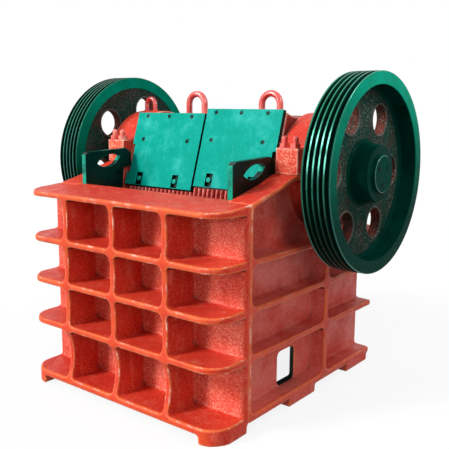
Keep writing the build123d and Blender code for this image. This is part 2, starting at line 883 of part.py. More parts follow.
def make_shaft_cover(side):
    cover = rod_x_between(
        wheel_outer_x, wheel_outer_x + shaft_cover_thickness, shaft_y, shaft_z, shaft_cover_radius
    )
    return mirror_x(cover, side)


# Bearing housings

def make_bearing_cap(side):
    cap = rod_x_between(cap_inner_x, cap_outer_x, shaft_y, shaft_z, cap_radius)
    for sign in (-1, 1):
        cap += box_between(
            ear_inner_x,
            ear_outer_x,
            shaft_y,
            shaft_y + sign * ear_reach,
            shaft_z,
            shaft_z + ear_height,
        )
    cap &= box_between(
        cap_inner_x,
        cap_outer_x,
        shaft_y - ear_reach,
        shaft_y + ear_reach,
        shaft_z,
        shaft_z + cap_radius,
    )
    cap -= rod_x_between(cap_inner_x - 1, cap_outer_x + 1, shaft_y, shaft_z, journal_radius + running_gap)
    for leg in (-1, 1):
        foot = cap_eye_x + leg * (cap_eye_outer - cap_eye_bar)
        cap += Pos(foot, shaft_y, cap_eye_base_z - 10) * Cylinder(cap_eye_boss_radius, 20)
    return mirror_x(cap, side)


def make_cap_studs(side):
    """Hexagon nuts on the cap's ears, with the stud ends that stand out of them."""
    studs = []
    for y in (shaft_y - ear_reach + stud_end_inset, shaft_y + ear_reach - stud_end_inset):
        for x in (ear_inner_x + stud_side_inset, ear_outer_x - stud_side_inset):
            spot = Pos(x, y, shaft_z + ear_height)
            nut = spot * extrude(RegularPolygon(stud_nut_flats / 2, 6, major_radius=False), stud_nut_height)
            stub = spot * Pos(0, 0, stud_stub_length / 2) * Cylinder(stud_radius, stud_stub_length)
            studs.append(mirror_x(nut + stub, side))
    return Compound(children=studs)


def make_bearing_cover(side):
    cover = rod_x_between(
        cap_outer_x, cap_outer_x + bearing_cover_thickness, shaft_y, shaft_z, bearing_cover_radius
    )
    cover -= rod_x_between(
        cap_outer_x - 1,
        cap_outer_x + bearing_cover_thickness + 1,
        shaft_y,
        shaft_z,
        journal_radius + running_gap,
    )
    return mirror_x(cover, side)


# Toggle and tension gear

def make_toggle_plate():
    angle = degrees(atan2(toggle_rear_z - toggle_front_z, toggle_rear_y - toggle_front_y))
    length = hypot(toggle_rear_z - toggle_front_z, toggle_rear_y - toggle_front_y)
    plate = rod_x_between(
        -toggle_half_width, toggle_half_width, toggle_front_y, toggle_front_z, toggle_end_radius
    )
    plate += rod_x_between(
        -toggle_half_width, toggle_half_width, toggle_rear_y, toggle_rear_z, toggle_end_radius
    )
    middle = Pos(
        0, (toggle_front_y + toggle_rear_y) / 2, (toggle_front_z + toggle_rear_z) / 2
    ) * Rot(angle, 0, 0)
    plate += middle * Box(2 * toggle_half_width, length, toggle_web_thickness)
    return plate


def make_adjusting_block():
    """Rear toggle seat: a block on the rear wall with a round groove along its front."""
    half_width = toggle_half_width + block_overhang
    block = box_between(
        -half_width,
        half_width,
        toggle_rear_y,
        rear_plate_y,
        toggle_rear_z - block_height / 2,
        toggle_rear_z + block_height / 2,
    )
    block -= rod_x_between(
        -half_width - 1,
        half_width + 1,
        toggle_rear_y,
        toggle_rear_z,
        toggle_end_radius + running_gap,
    )
    return block


def make_tension_rods():
    rods = []
    rear_end = rear_root_y + jaw_clearance + spring_length + 2 * spring_washer_thickness + rod_end_length
    for x in (-rod_x, rod_x):
        rod = rod_y_between(rod_front_y, rear_end, x, rod_z, rod_radius)
        eye_half = lug_gap / 2 - running_gap
        rod += rod_x_between(x - eye_half, x + eye_half, rod_front_y, rod_z, rod_eye_radius)
        pin_half = lug_gap / 2 + lug_thickness + pin_end_length
        rod += rod_x_between(x - pin_half, x + pin_half, rod_front_y, rod_z, pin_radius)
        rods.append(rod)
    return Compound(children=rods)


def make_tension_springs():
    """Springs between two washers, as sleeves of their outer size."""
    springs = []
    start = rear_root_y + jaw_clearance
    barrel_start = start + spring_washer_thickness
    barrel_end = barrel_start + spring_length
    end = barrel_end + spring_washer_thickness
    for x in (-rod_x, rod_x):
        spring = rod_y_between(start, barrel_start, x, rod_z, spring_washer_radius)
        spring += rod_y_between(barrel_start, barrel_end, x, rod_z, spring_radius)
        spring += rod_y_between(barrel_end, end, x, rod_z, spring_washer_radius)
        springs.append(spring - rod_y_between(start - 1, end + 1, x, rod_z, rod_radius + fit_gap))
    return Compound(children=springs)


# All pieces by name

def build_parts():
    parts = {
        "front_wall": make_front_wall(),
        "rear_wall": make_rear_wall(),
        "fixed_jaw_plate": make_fixed_jaw_plate(),
        "swing_jaw": make_swing_jaw(),
        "moving_jaw_plate": make_moving_jaw_plate(),
        "eccentric_shaft": make_eccentric_shaft(),
        "toggle_plate": make_toggle_plate(),
        "adjusting_block": make_adjusting_block(),
        "tension_rods": make_tension_rods(),
        "tension_springs": make_tension_springs(),
    }
    for name, side, phase in (("left", -1, hole_phase_left), ("right", 1, hole_phase_right)):
        parts[f"side_wall_{name}"] = make_side_wall(side)
        parts[f"cheek_upper_{name}"] = make_cheek_upper(side)
        parts[f"cheek_lower_{name}"] = make_cheek_lower(side)
        parts[f"jaw_seal_{name}"] = make_jaw_seal(side)
        parts[f"guard_plate_{name}"] = make_guard_plate(side)
        parts[f"guard_bolts_{name}"] = make_guard_bolts(side)
        parts[f"flywheel_{name}"] = make_flywheel(side, phase)
        parts[f"shaft_cover_{name}"] = make_shaft_cover(side)
        parts[f"bearing_cap_{name}"] = make_bearing_cap(side)
        parts[f"bearing_cover_{name}"] = make_bearing_cover(side)
        parts[f"cap_studs_{name}"] = make_cap_studs(side)
        parts[f"jaw_eye_{name}"] = make_eye(
            side * jaw_eye_x, shaft_y, jaw_eye_base_z, jaw_eye_top_z, jaw_eye_outer, jaw_eye_bar
        )
        parts[f"cap_eye_{name}"] = make_eye(
            side * cap_eye_x, shaft_y, cap_eye_base_z, cap_eye_top_z, cap_eye_outer, cap_eye_bar
        )
    return parts


os.makedirs("parts", exist_ok=True)
for node, shape in build_parts().items():
    export_step(shape, f"parts/{node}.step")
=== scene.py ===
import json
from math import cos, pi, radians, sin, tau

import bmesh
import bpy
from mathutils import Matrix, Vector

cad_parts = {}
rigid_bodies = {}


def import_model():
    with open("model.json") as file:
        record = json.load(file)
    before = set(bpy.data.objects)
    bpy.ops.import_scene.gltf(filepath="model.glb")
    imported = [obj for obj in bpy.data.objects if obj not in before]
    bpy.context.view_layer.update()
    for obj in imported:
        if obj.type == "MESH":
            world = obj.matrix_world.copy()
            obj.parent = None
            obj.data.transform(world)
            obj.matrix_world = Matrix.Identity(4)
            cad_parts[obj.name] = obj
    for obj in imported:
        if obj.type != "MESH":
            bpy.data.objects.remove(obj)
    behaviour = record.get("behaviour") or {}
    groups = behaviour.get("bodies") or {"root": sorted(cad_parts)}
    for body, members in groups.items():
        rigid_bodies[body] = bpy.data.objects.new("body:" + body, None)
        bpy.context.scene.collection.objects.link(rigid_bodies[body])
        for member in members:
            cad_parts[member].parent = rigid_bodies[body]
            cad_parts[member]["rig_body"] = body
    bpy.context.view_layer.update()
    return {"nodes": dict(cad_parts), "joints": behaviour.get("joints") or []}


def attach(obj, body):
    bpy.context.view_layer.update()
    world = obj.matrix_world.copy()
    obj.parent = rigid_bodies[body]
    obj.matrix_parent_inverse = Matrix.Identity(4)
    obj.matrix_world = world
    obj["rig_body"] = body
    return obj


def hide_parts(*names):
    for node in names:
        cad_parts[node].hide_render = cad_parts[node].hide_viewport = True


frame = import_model()

# Jaw crusher. Metres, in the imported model's frame: +Z up, -Y the feed side, X along the shaft.

SIDES = {"left": -1, "right": 1}
joints = {joint["name"]: joint for joint in frame["joints"]}
shaft = Vector(joints["shaft_spin"]["pos_m"])


# Mesh helpers

MERGE_DISTANCE = 0.00002
FLAT_WITHIN = radians(0.5)
# The most a casting keeps, so that the whole machine stays under a million triangles
CASTING_TRIANGLES = 138000
CASTING_ROUNDS = 3
EASED_FROM = radians(35)
EASED_SEGMENTS = 2
PLATE_SMOOTH = radians(40)
WORN_OR_HIGHLIT_SLOT = 1
SIDE_SLOT = 2


def link(obj):
    """Puts an object in the scene."""
    bpy.context.scene.collection.objects.link(obj)
    return obj


def piece_from(bm, name):
    """A new object that holds this mesh."""
    mesh = bpy.data.meshes.new(name)
    bm.to_mesh(mesh)
    bm.free()
    return link(bpy.data.objects.new(name, mesh))


def apply_modifiers(obj):
    """Bakes the modifiers into a plain mesh and removes them."""
    graph = bpy.context.evaluated_depsgraph_get()
    mesh = bpy.data.meshes.new_from_object(obj.evaluated_get(graph))
    obj.modifiers.clear()
    old = obj.data
    obj.data = mesh
    if isinstance(old, bpy.types.Mesh) and not old.users:
        bpy.data.meshes.remove(old)
    return obj


def smooth_faces(obj, angle=None):
    """Smooth shading, kept sharp past an angle."""
    if angle is None:
        obj.data.shade_smooth()
    else:
        obj.data.set_sharp_from_angle(angle=angle)
        for polygon in obj.data.polygons:
            polygon.use_smooth = True
    return obj


def flatten_shading(obj):
    """Large flat faces keep their own normal, and only the small rounded edges blend."""
    weigh = obj.modifiers.new("Large faces lead", "WEIGHTED_NORMAL")
    weigh.mode = "FACE_AREA"
    weigh.weight = 100
    weigh.keep_sharp = True
    return apply_modifiers(obj)


def merged_copy(node, name):
    """A copy of a CAD node with its loose triangles joined and flat faces merged."""
    bm = bmesh.new()
    bm.from_mesh(frame["nodes"][node].data)
    bmesh.ops.remove_doubles(bm, verts=bm.verts, dist=MERGE_DISTANCE)
    bmesh.ops.dissolve_limit(bm, angle_limit=FLAT_WITHIN, verts=bm.verts, edges=bm.edges)
    return piece_from(bm, name)


def rides_with(piece, node):
    """Detail that moves with a CAD node."""
    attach(piece, frame["nodes"][node]["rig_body"])
    return piece


def stands_for(piece, node):
    """The piece replaces a CAD node and moves with its body."""
    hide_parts(node)
    return rides_with(piece, node)


def add_node(tree, kind, inputs=None, settings=None):
    """A node with its settings made and each input linked or set."""
    node = tree.nodes.new(kind)
    for key, value in (settings or {}).items():
        setattr(node, key, value)
    for key, value in (inputs or {}).items():
        if isinstance(value, bpy.types.NodeSocket):
            tree.links.new(value, node.inputs[key])
        else:
            node.inputs[key].default_value = value
    return node


def casting(node, finish, voxel):
    """A CAD node remeshed so that its edges and inner corners are rounded as in a sand casting."""
    obj = merged_copy(node, node + "_cast")
    remesh = obj.modifiers.new("Sand mould", "REMESH")
    remesh.mode = "VOXEL"
    remesh.voxel_size = voxel
    relax = obj.modifiers.new("Rounded corners", "SMOOTH")
    relax.factor = 0.5
    relax.iterations = CASTING_ROUNDS
    apply_modifiers(obj)
    triangles = 2 * len(obj.data.polygons)
    if triangles > CASTING_TRIANGLES:
        thin = obj.modifiers.new("Fewer faces on the flats", "DECIMATE")
        thin.ratio = CASTING_TRIANGLES / triangles
        apply_modifiers(obj)
    smooth_faces(obj)
    obj.data.materials.append(finish)
    return stands_for(obj, node)


def plate(node, finish, edge, worn_or_highlit=None, sides=None, on_side=None):
    """A CAD node with rounded edges; worn or highlight-painted edges and chosen sides get own finishes.
    """
    obj = merged_copy(node, node + "_piece")
    for each in (finish, worn_or_highlit or finish, sides or finish):
        obj.data.materials.append(each)
    if on_side:
        for face in obj.data.polygons:
            face.material_index = SIDE_SLOT if on_side(face) else 0
    bevel = obj.modifiers.new("Eased edges", "BEVEL")
    bevel.width = edge
    bevel.segments = EASED_SEGMENTS
    bevel.limit_method = "ANGLE"
    bevel.angle_limit = EASED_FROM
    bevel.use_clamp_overlap = True
    if worn_or_highlit:
        bevel.material = WORN_OR_HIGHLIT_SLOT
    apply_modifiers(obj)
    smooth_faces(obj, PLATE_SMOOTH)
    flatten_shading(obj)
    return stands_for(obj, node)


# Finishes

WHITE = (1, 1, 1, 1)
PAINTED_LIGHT_FADE = 0.03
NOSE_FADE = 0.006
# Heights over the shaft between which a turned rim is painted darker, as painted shade
PAINTED_SHADE_FROM = 0.48
PAINTED_SHADE_FULL = -0.10


def srgb(red, green, blue):
    """A colour picked in 0 to 255 steps, as the shader's linear value."""
    def linear(step):
        share = step / 255
        return share / 12.92 if share <= 0.04045 else ((share + 0.055) / 1.055) ** 2.4
    return (linear(red), linear(green), linear(blue), 1)


class Finish:
    """One procedural material, with short ways to add the nodes that the finishes share."""

    SOCKETS = {
        "colour": "Base Color",
        "roughness": "Roughness",
        "metallic": "Metallic",
        "shine": "Specular IOR Level",
        "tint": "Specular Tint",
    }

    def __init__(self, name):
        self.material = bpy.data.materials.new(name)
        self.material.use_nodes = True
        self.tree = self.material.node_tree
        self.shader = self.tree.nodes["Principled BSDF"]
        coordinates = self.add("ShaderNodeTexCoord").outputs
        self.place = coordinates["Object"]
        self.facing = coordinates["Normal"]
        self.geometry = self.add("ShaderNodeNewGeometry")

    def add(self, kind, inputs=None, **settings):
        """A node of this material."""
        return add_node(self.tree, kind, inputs, settings)

    def noise(self, scale, detail=4, roughness=0.55, stretch=None):
        """Clouds from 0 to 1 through the piece, smaller as the scale goes up."""
        place = self.place
        if stretch:
            place = self.add("ShaderNodeMapping", {"Vector": place, "Scale": stretch}).outputs[0]
        inputs = {"Vector": place, "Scale": scale, "Detail": detail, "Roughness": roughness}
        return self.add("ShaderNodeTexNoise", inputs).outputs["Fac"]

    def along(self, axis, source=None):
        """The distance from the middle along an axis, or how squarely a face looks along it."""
        parts = self.add("ShaderNodeSeparateXYZ", {0: source or self.place})
        return self.add("ShaderNodeMath", {0: parts.outputs[axis]}, operation="ABSOLUTE").outputs[0]

    def up(self, source=None):
        """The height of a place, or how far a face looks up."""
        return self.add("ShaderNodeSeparateXYZ", {0: source or self.place}).outputs[2]

    def band(self, factor, low, high, start=0.0, end=1.0):
        """Maps low..high of a factor to start..end, held at both ends."""
        inputs = {"Value": factor, "From Min": low, "From Max": high, "To Min": start, "To Max": end}
        return self.add("ShaderNodeMapRange", inputs).outputs["Result"]

    def mix(self, factor, first, second):
        """The first colour where the factor is 0, and the second where it is 1."""
        inputs = {"Factor": factor, 6: first, 7: second}
        return self.add("ShaderNodeMix", inputs, data_type="RGBA").outputs[2]

    def maths(self, operation, first, second):
        """One step of arithmetic on two values."""
        return self.add("ShaderNodeMath", {0: first, 1: second}, operation=operation).outputs[0]

    def times(self, first, second):
        """Two values multiplied."""
        return self.maths("MULTIPLY", first, second)

    def bump(self, height, strength, distance):
        """Raises the surface with a height from 0 to 1."""
        node = self.add("ShaderNodeBump", {"Height": height, "Strength": strength, "Distance": distance})
        self.tree.links.new(node.outputs["Normal"], self.shader.inputs["Normal"])

    def set(self, **sockets):
        """Links or sets the shader's sockets, and ends the material."""
        for key, value in sockets.items():
            socket = self.shader.inputs[self.SOCKETS[key]]
            if isinstance(value, bpy.types.NodeSocket):
                self.tree.links.new(value, socket)
            else:
                socket.default_value = value
        return self.material


class DustAndPaintedLight:
    """Where dust lies on a casting, or a lighter colour painted on shaded faces as painted light,
    in what colours, and how thick its specks are.

    It sets in between two distances along an axis, on the faces that look along another, and on
    every face lower than a height if that is given, as painted light on the side walls' shaded shelves.
    """

    def __init__(self, axis, start, full, looks, colours, specks, below=None):
        self.axis = axis
        self.start = start
        self.full = full
        self.looks = looks
        self.base, self.pale = colours
        self.specks = specks
        self.below = below

    def cover(self, f):
        """How much of the dust or painted light lies at each place, as a value from a finish's nodes."""
        looking = f.band(f.along(self.looks, f.facing), 0.6, 0.85)
        if self.below is not None:
            looking = f.maths("MAXIMUM", looking, f.band(f.up(), self.below, self.below - PAINTED_LIGHT_FADE))
        depth = f.band(f.along(self.axis), self.start, self.full)
        patchy = f.band(f.noise(5, 3), 0.38, 0.58, 0.3, 1.0)
        return f.times(f.times(depth, looking), patchy)


def cast_paint(
    name, body, shade, edge, pale, painted_shade, specks=0.4, dust_and_light=None, nose=None, grain=0.35, glint_share=1.0
):
    """Brushed gloss paint over a rough sand casting, with painted shade in its corners and underneath,
    and edges worn lighter that also carry painted highlights.

    nose gives the distance along Y beyond which the paint is scuffed to orange. rubbed says how
    strongly the sharpest edges get pale painted glints.
    """
    f = Finish(name)
    mottle = f.noise(17, 5, 0.62)
    smears = f.noise(13, 5, 0.7, stretch=(1.5, 1.5, 0.5))
    grit = f.noise(125, 3, 0.7)
    sharpness = f.geometry.outputs["Pointiness"]

    # Clouds, brush smears and grit
    colour = f.mix(f.band(f.noise(2.6, 3), 0.38, 0.66), shade, body)
    colour = f.mix(f.band(smears, 0.52, 0.72, 0, 0.42), colour, pale)
    colour = f.mix(f.band(smears, 0.46, 0.30, 0, 0.5), colour, shade)
    colour = f.mix(f.band(grit, 0.53, 0.68, 0, specks), colour, pale)
    colour = f.mix(f.band(grit, 0.46, 0.33, 0, 0.55), colour, DEEP_RED)

    # Pocket dust, painted light on the side walls' shaded faces, and scuffed rib noses
    if dust_and_light:
        dusty_or_lit = f.mix(f.band(grit, 0.50, 0.66, 0, dust_and_light.specks), dust_and_light.base, dust_and_light.pale)
        dusty_or_lit = f.mix(f.band(grit, 0.46, 0.34, 0, 0.6), dusty_or_lit, shade)
        colour = f.mix(dust_and_light.cover(f), colour, dusty_or_lit)
    if nose:
        at_nose = f.band(f.along(1), nose, nose + NOSE_FADE)
        colour = f.mix(f.times(at_nose, f.band(mottle, 0.36, 0.60, 0.1, 0.8)), colour, NOSE_ORANGE)
    colour = f.mix(f.band(f.noise(190, 2, 0.7), 0.45, 0.34, 0, 0.4), colour, shade)

    # Painted shade: darker on faces that look down, and in inner corners
    colour = f.mix(f.band(f.up(f.facing), -0.25, -0.75, 0, 0.9), colour, painted_shade)
    colour = f.mix(f.band(sharpness, 0.480, 0.450, 0, 0.7), colour, painted_shade)

    # Edges worn lighter, partly as a painted highlight, and pale painted glints on the sharpest of them
    worn_and_highlit = f.times(f.band(sharpness, 0.512, 0.545), f.band(mottle, 0.30, 0.60, 0.45, 1.0))
    colour = f.mix(worn_and_highlit, colour, edge)
    glint = f.times(f.band(sharpness, 0.526, 0.552, 0, glint_share), f.band(f.noise(11, 5, 0.75), 0.52, 0.60))
    colour = f.mix(glint, colour, GLINT_PALE)

    f.bump(f.maths("ADD", f.noise(85, 6, 0.6), f.times(f.noise(14, 3), 2.2)), grain, 0.006)
    return f.set(colour=colour, roughness=f.band(mottle, 0.35, 0.70, 0.30, 0.58), shine=0.14)


def plate_paint(name, body, shade, pale, streak=0.5, gloss=0.38, shine=0.12):
    """Paint on rolled plate: nearly flat, with cloudy paler patches and fine scratches."""
    f = Finish(name)
    cloud = f.noise(7, 5, 0.65)
    fine = f.noise(60, 4, 0.6)
    scratches = f.noise(16, 4, 0.7, stretch=(9.0, 1.0, 1.0))
    colour = f.mix(f.band(cloud, 0.30, 0.55), shade, body)
    colour = f.mix(f.band(cloud, 0.50, 0.70, 0, streak), colour, pale)
    colour = f.mix(f.band(scratches, 0.60, 0.70, 0, streak * 0.8), colour, pale)
    colour = f.mix(f.band(fine, 0.60, 0.80, 0, streak * 0.6), colour, pale)
    f.bump(f.noise(120, 4), 0.12, 0.002)
    rough = f.band(cloud, 0.3, 0.7, gloss - 0.1, gloss + 0.15)
    return f.set(colour=colour, roughness=rough, shine=shine)


def turned_paint(name, body, shade, pale, gloss=0.3, shine=0.08, shade_below=None, tint=WHITE):
    """Gloss paint over a turned rim, with small paler flecks.

    foot is the darker colour painted, as painted shade, on the side of the wheel that hangs down at
    rest.
    """
    f = Finish(name)
    cloud = f.noise(9, 4, 0.6)
    colour = f.mix(f.band(cloud, 0.35, 0.7), shade, body)
    # Painted shade: darker towards the side that hangs down at rest, and it turns with the wheel
    if shade_below:
        shade_height = f.maths("ADD", f.up(), f.times(f.noise(4, 3), 0.2))
        colour = f.mix(f.band(shade_height, shaft.z + PAINTED_SHADE_FROM, shaft.z + PAINTED_SHADE_FULL), colour, shade_below)
    colour = f.mix(f.band(f.noise(150, 3), 0.60, 0.74, 0, 0.35), colour, pale)
    f.bump(f.noise(70, 3), 0.10, 0.002)
    rough = f.band(cloud, 0.3, 0.7, gloss - 0.06, gloss + 0.14)
    return f.set(colour=colour, roughness=rough, shine=shine, tint=tint)


def bare_iron(name, body, rust, grit, gloss=0.55, metal=0.0, shine=0.2, grit_share=0.6):
    """Rough cast iron with thin paint left on it, brown patches and pale grit."""
    f = Finish(name)
    patches = f.noise(11, 6, 0.65)
    grains = f.noise(170, 2, 0.7)
    thick = f.band(f.noise(6, 3), 0.40, 0.60, 0.3, 1.0)
    colour = f.mix(f.band(patches, 0.42, 0.66), body, rust)
    colour = f.mix(f.times(f.band(grains, 0.56, 0.70, 0, grit_share), thick), colour, grit)
    f.bump(f.maths("ADD", grains, patches), 0.35, 0.004)
    rough = f.band(patches, 0.3, 0.7, gloss - 0.12, gloss + 0.2)
    return f.set(colour=colour, roughness=rough, metallic=metal, shine=shine)


DEEP_RED = srgb(150, 26, 20)
NOSE_ORANGE = srgb(216, 80, 40)
# Pale painted glint for the sharpest cast edges
GLINT_PALE = srgb(255, 226, 208)
FRAME_COLOURS = {
    "body": srgb(218, 62, 40),
    "shade": srgb(202, 46, 32),
    # Edges worn lighter, partly a painted highlight
    "edge": srgb(238, 116, 66),
    "pale": srgb(244, 140, 112),
    # Painted shade for undersides and inner corners
    "painted_shade": srgb(84, 26, 20),
}
POCKET_DUST = (srgb(228, 94, 74), srgb(255, 186, 160))
# Painted light: a lighter, paler red for the shaded faces and shelves of the side walls
SIDE_PAINTED_LIGHT = (srgb(226, 116, 104), srgb(246, 158, 144))
EAR_DUST = (srgb(232, 90, 62), srgb(255, 214, 186))
FRONT_RED = cast_paint(
    "front_paint",
    **FRAME_COLOURS,
    dust_and_light=DustAndPaintedLight(axis=1, start=0.66, full=0.59, looks=1, colours=POCKET_DUST, specks=0.7),
    nose=0.700,
)
SIDE_RED = cast_paint(
    "side_paint",
    **FRAME_COLOURS,
    # The side walls' shaded faces and shelves are painted lighter, as painted light, with a few specks
    dust_and_light=DustAndPaintedLight(axis=0, start=0.665, full=0.62, looks=0, colours=SIDE_PAINTED_LIGHT, specks=0.25, below=0.97),
    glint_share=0.35,
)
REAR_RED = cast_paint(
    "rear_paint",
    **FRAME_COLOURS,
    dust_and_light=DustAndPaintedLight(axis=1, start=0.68, full=0.63, looks=1, colours=POCKET_DUST, specks=0.5),
)
HOUSING_RED = cast_paint(
    "housing_paint",
    body=srgb(222, 66, 48),
    shade=srgb(206, 52, 38),
    # Pale edges, partly a painted highlight
    edge=srgb(250, 176, 152),
    pale=srgb(248, 150, 126),
    painted_shade=srgb(110, 30, 24),
    specks=0.3,
    dust_and_light=DustAndPaintedLight(axis=2, start=1.300, full=1.285, looks=1, colours=EAR_DUST, specks=0.8),
    grain=0.22,
)
# Painted shade: the swing jaw's red is painted dark for the shadow round its barrel, with pale painted
# edge highlights
JAW_RED_SHADED = cast_paint(
    "jaw_shaded_paint",
    body=srgb(150, 52, 44),
    shade=srgb(108, 38, 33),
    edge=srgb(240, 160, 146),
    pale=srgb(190, 96, 84),
    painted_shade=srgb(40, 16, 14),
)
LINER_RED = cast_paint(
    "liner_paint",
    body=srgb(176, 44, 44),
    shade=srgb(126, 28, 32),
    edge=srgb(222, 104, 92),
    pale=srgb(204, 84, 78),
    painted_shade=srgb(70, 12, 16),
    grain=0.3,
    glint_share=0.25,
)
EYE_RED = plate_paint(
    "eye_paint",
    body=srgb(220, 62, 54),
    shade=srgb(188, 40, 38),
    pale=srgb(248, 150, 136),
    streak=0.7,
    gloss=0.26,
    shine=1.0,
)
STUD_RED = plate_paint(
    "stud_paint",
    body=srgb(222, 66, 50),
    shade=srgb(190, 46, 38),
    pale=srgb(250, 176, 154),
    streak=0.8,
    gloss=0.34,
    shine=0.8,
)
GUARD_TEAL = plate_paint(
    "guard_paint",
    body=srgb(0, 160, 144),
    shade=srgb(0, 150, 130),
    pale=srgb(64, 188, 176),
    streak=0.75,
    shine=0.03,
)
GUARD_EDGE = plate_paint("guard_edge_paint", srgb(0, 88, 76), srgb(0, 60, 52), srgb(120, 220, 204))
# Painted shade: near black for the guard plates' faces that look along X and for their slot packing
GUARD_SIDE_SHADE = plate_paint(
    "guard_side_shade_paint", srgb(2, 40, 34), srgb(2, 28, 24), srgb(10, 80, 70), streak=0.4
)
# Painted shade: the cheek plates' broad faces are painted near black, a shaded copy of their green
CHEEK_GREEN_SHADED = plate_paint(
    "cheek_paint",
    body=srgb(2, 28, 23),
    shade=srgb(1, 18, 15),
    pale=srgb(8, 46, 39),
    streak=0.35,
    gloss=0.24,
    shine=0.2,
)
CHEEK_EDGE = plate_paint(
    "cheek_edge_paint", srgb(6, 110, 90), srgb(4, 70, 58), srgb(120, 210, 192), streak=0.8
)
# Painted light: the cheek plates' front faces are painted bright teal, a lit copy of the same green
CHEEK_FRONT_LIT = bare_iron(
    "cheek_front_paint",
    body=srgb(0, 168, 138),
    rust=srgb(2, 76, 62),
    grit=srgb(150, 226, 206),
    gloss=0.5,
    shine=0.1,
    grit_share=0.7,
)
# Dark bolt paint, partly painted shade for the shadow ring round the guard bolts
BOLT_DARK_SHADE = plate_paint(
    "bolt_paint", srgb(4, 32, 27), srgb(2, 16, 14), srgb(30, 80, 70), streak=0.3, shine=0.03
)
# Painted highlight: pale eased edges for the crescent of light on the bolt heads
BOLT_EDGE_HIGHLIGHT = plate_paint("bolt_edge_highlight_paint", srgb(96, 170, 154), srgb(8, 60, 52), srgb(190, 232, 222))
OILY_DARK = bare_iron("oily_iron", srgb(8, 44, 36), srgb(24, 28, 24), srgb(60, 70, 62), gloss=0.5)
# Painted light and shade: one green, lighter on the face and lands, darker in grooves and rim inside
WHEEL_FINISHES = {
    "groove": turned_paint(
        "wheel_groove_shade_paint",
        body=srgb(0, 44, 34),
        shade=srgb(0, 32, 26),
        pale=srgb(0, 62, 50),
        gloss=0.5,
        shine=0.01,
    ),
    "land": turned_paint(
        "wheel_land_lit_paint",
        body=srgb(0, 116, 84),
        shade=srgb(0, 92, 68),
        pale=srgb(0, 150, 112),
        gloss=0.22,
        shine=1.0,
        # Painted shade towards the foot of the rim
        shade_below=srgb(0, 48, 38),
        tint=(0.3, 1.0, 0.78, 1),
    ),
    "face": turned_paint(
        "wheel_face_lit_paint",
        body=srgb(0, 142, 116),
        shade=srgb(0, 126, 100),
        pale=srgb(4, 156, 128),
        shine=0.01,
        # Painted shade towards the foot of the rim
        shade_below=srgb(0, 50, 40),
    ),
    "rim inside": turned_paint(
        "rim_inside_shade_paint",
        body=srgb(0, 54, 44),
        shade=srgb(0, 40, 32),
        pale=srgb(10, 72, 60),
        gloss=0.4,
        shine=0.01,
    ),
    # The web's pale grit is partly painted glints
    "web": bare_iron(
        "web_iron_and_glints",
        body=srgb(4, 50, 40),
        rust=srgb(52, 48, 42),
        grit=srgb(168, 172, 164),
        gloss=0.6,
        shine=0.02,
        grit_share=0.7,
    ),
    "hub": turned_paint(
        "hub_paint", body=srgb(0, 54, 43), shade=srgb(0, 40, 32), pale=srgb(6, 70, 58), shine=0.01
    ),
    "hole wall": bare_iron(
        "hole_wall",
        body=srgb(54, 42, 36),
        rust=srgb(110, 48, 40),
        grit=srgb(180, 172, 162),
        gloss=0.6,
        shine=0.02,
    ),
}
COVER_GREEN = turned_paint(
    "cover_paint", srgb(0, 60, 48), srgb(0, 46, 37), srgb(4, 84, 68), gloss=0.4, shine=0.01
)
# Painted highlight: the cover's eased edge is painted lighter for the arc of light on it, and glossy
COVER_EDGE_HIGHLIGHT = turned_paint(
    "cover_edge_highlight_paint", srgb(0, 110, 88), srgb(0, 86, 68), srgb(120, 200, 180), gloss=0.2, shine=0.6
)
# Painted highlight: the raised hole rims are painted pale for the glints along them
RIM_PALE_GLINT = bare_iron(
    "hole_rim_glint_iron", srgb(50, 60, 54), srgb(84, 66, 58), srgb(200, 210, 202), gloss=0.5, grit_share=0.9
)
GEAR_IRON = bare_iron("gear_iron", srgb(54, 50, 47), srgb(96, 70, 54), srgb(120, 110, 100), metal=0.3)
SHAFT_STEEL = bare_iron(
    "shaft_steel", srgb(120, 116, 110), srgb(96, 84, 74), srgb(150, 146, 140), gloss=0.35, metal=0.9
)


# Castings

WALL_VOXEL = 0.0065
CAP_VOXEL = 0.0045
REAR_VOXEL = 0.009
TOGGLE_VOXEL = 0.008
WINDOW_Y = (-0.125, 0.035)
WINDOW_Z = (0.072, 0.265)
REVEAL_OUTER_X = 0.563
OILY_SLOT = 1


def in_reveal(face):
    """Whether a face is on the reveal of a side window, behind the outer ribs."""
    place = face.center
    across = WINDOW_Y[0] < place.y < WINDOW_Y[1] and WINDOW_Z[0] < place.z < WINDOW_Z[1]
    return across and abs(place.x) < REVEAL_OUTER_X and abs(face.normal.x) < 0.6


casting("front_wall", FRONT_RED, WALL_VOXEL)
for side_name in SIDES:
    wall = casting(f"side_wall_{side_name}", SIDE_RED, WALL_VOXEL)
    wall.data.materials.append(OILY_DARK)
    for face in wall.data.polygons:
        if in_reveal(face):
            face.material_index = OILY_SLOT
    casting(f"bearing_cap_{side_name}", HOUSING_RED, CAP_VOXEL)
casting("rear_wall", REAR_RED, REAR_VOXEL)
casting("swing_jaw", JAW_RED_SHADED, WALL_VOXEL)
casting("adjusting_block", GEAR_IRON, TOGGLE_VOXEL)
casting("toggle_plate", GEAR_IRON, TOGGLE_VOXEL)

# Plates and turned pieces

SLOT_BOLTS_BELOW = 1.2

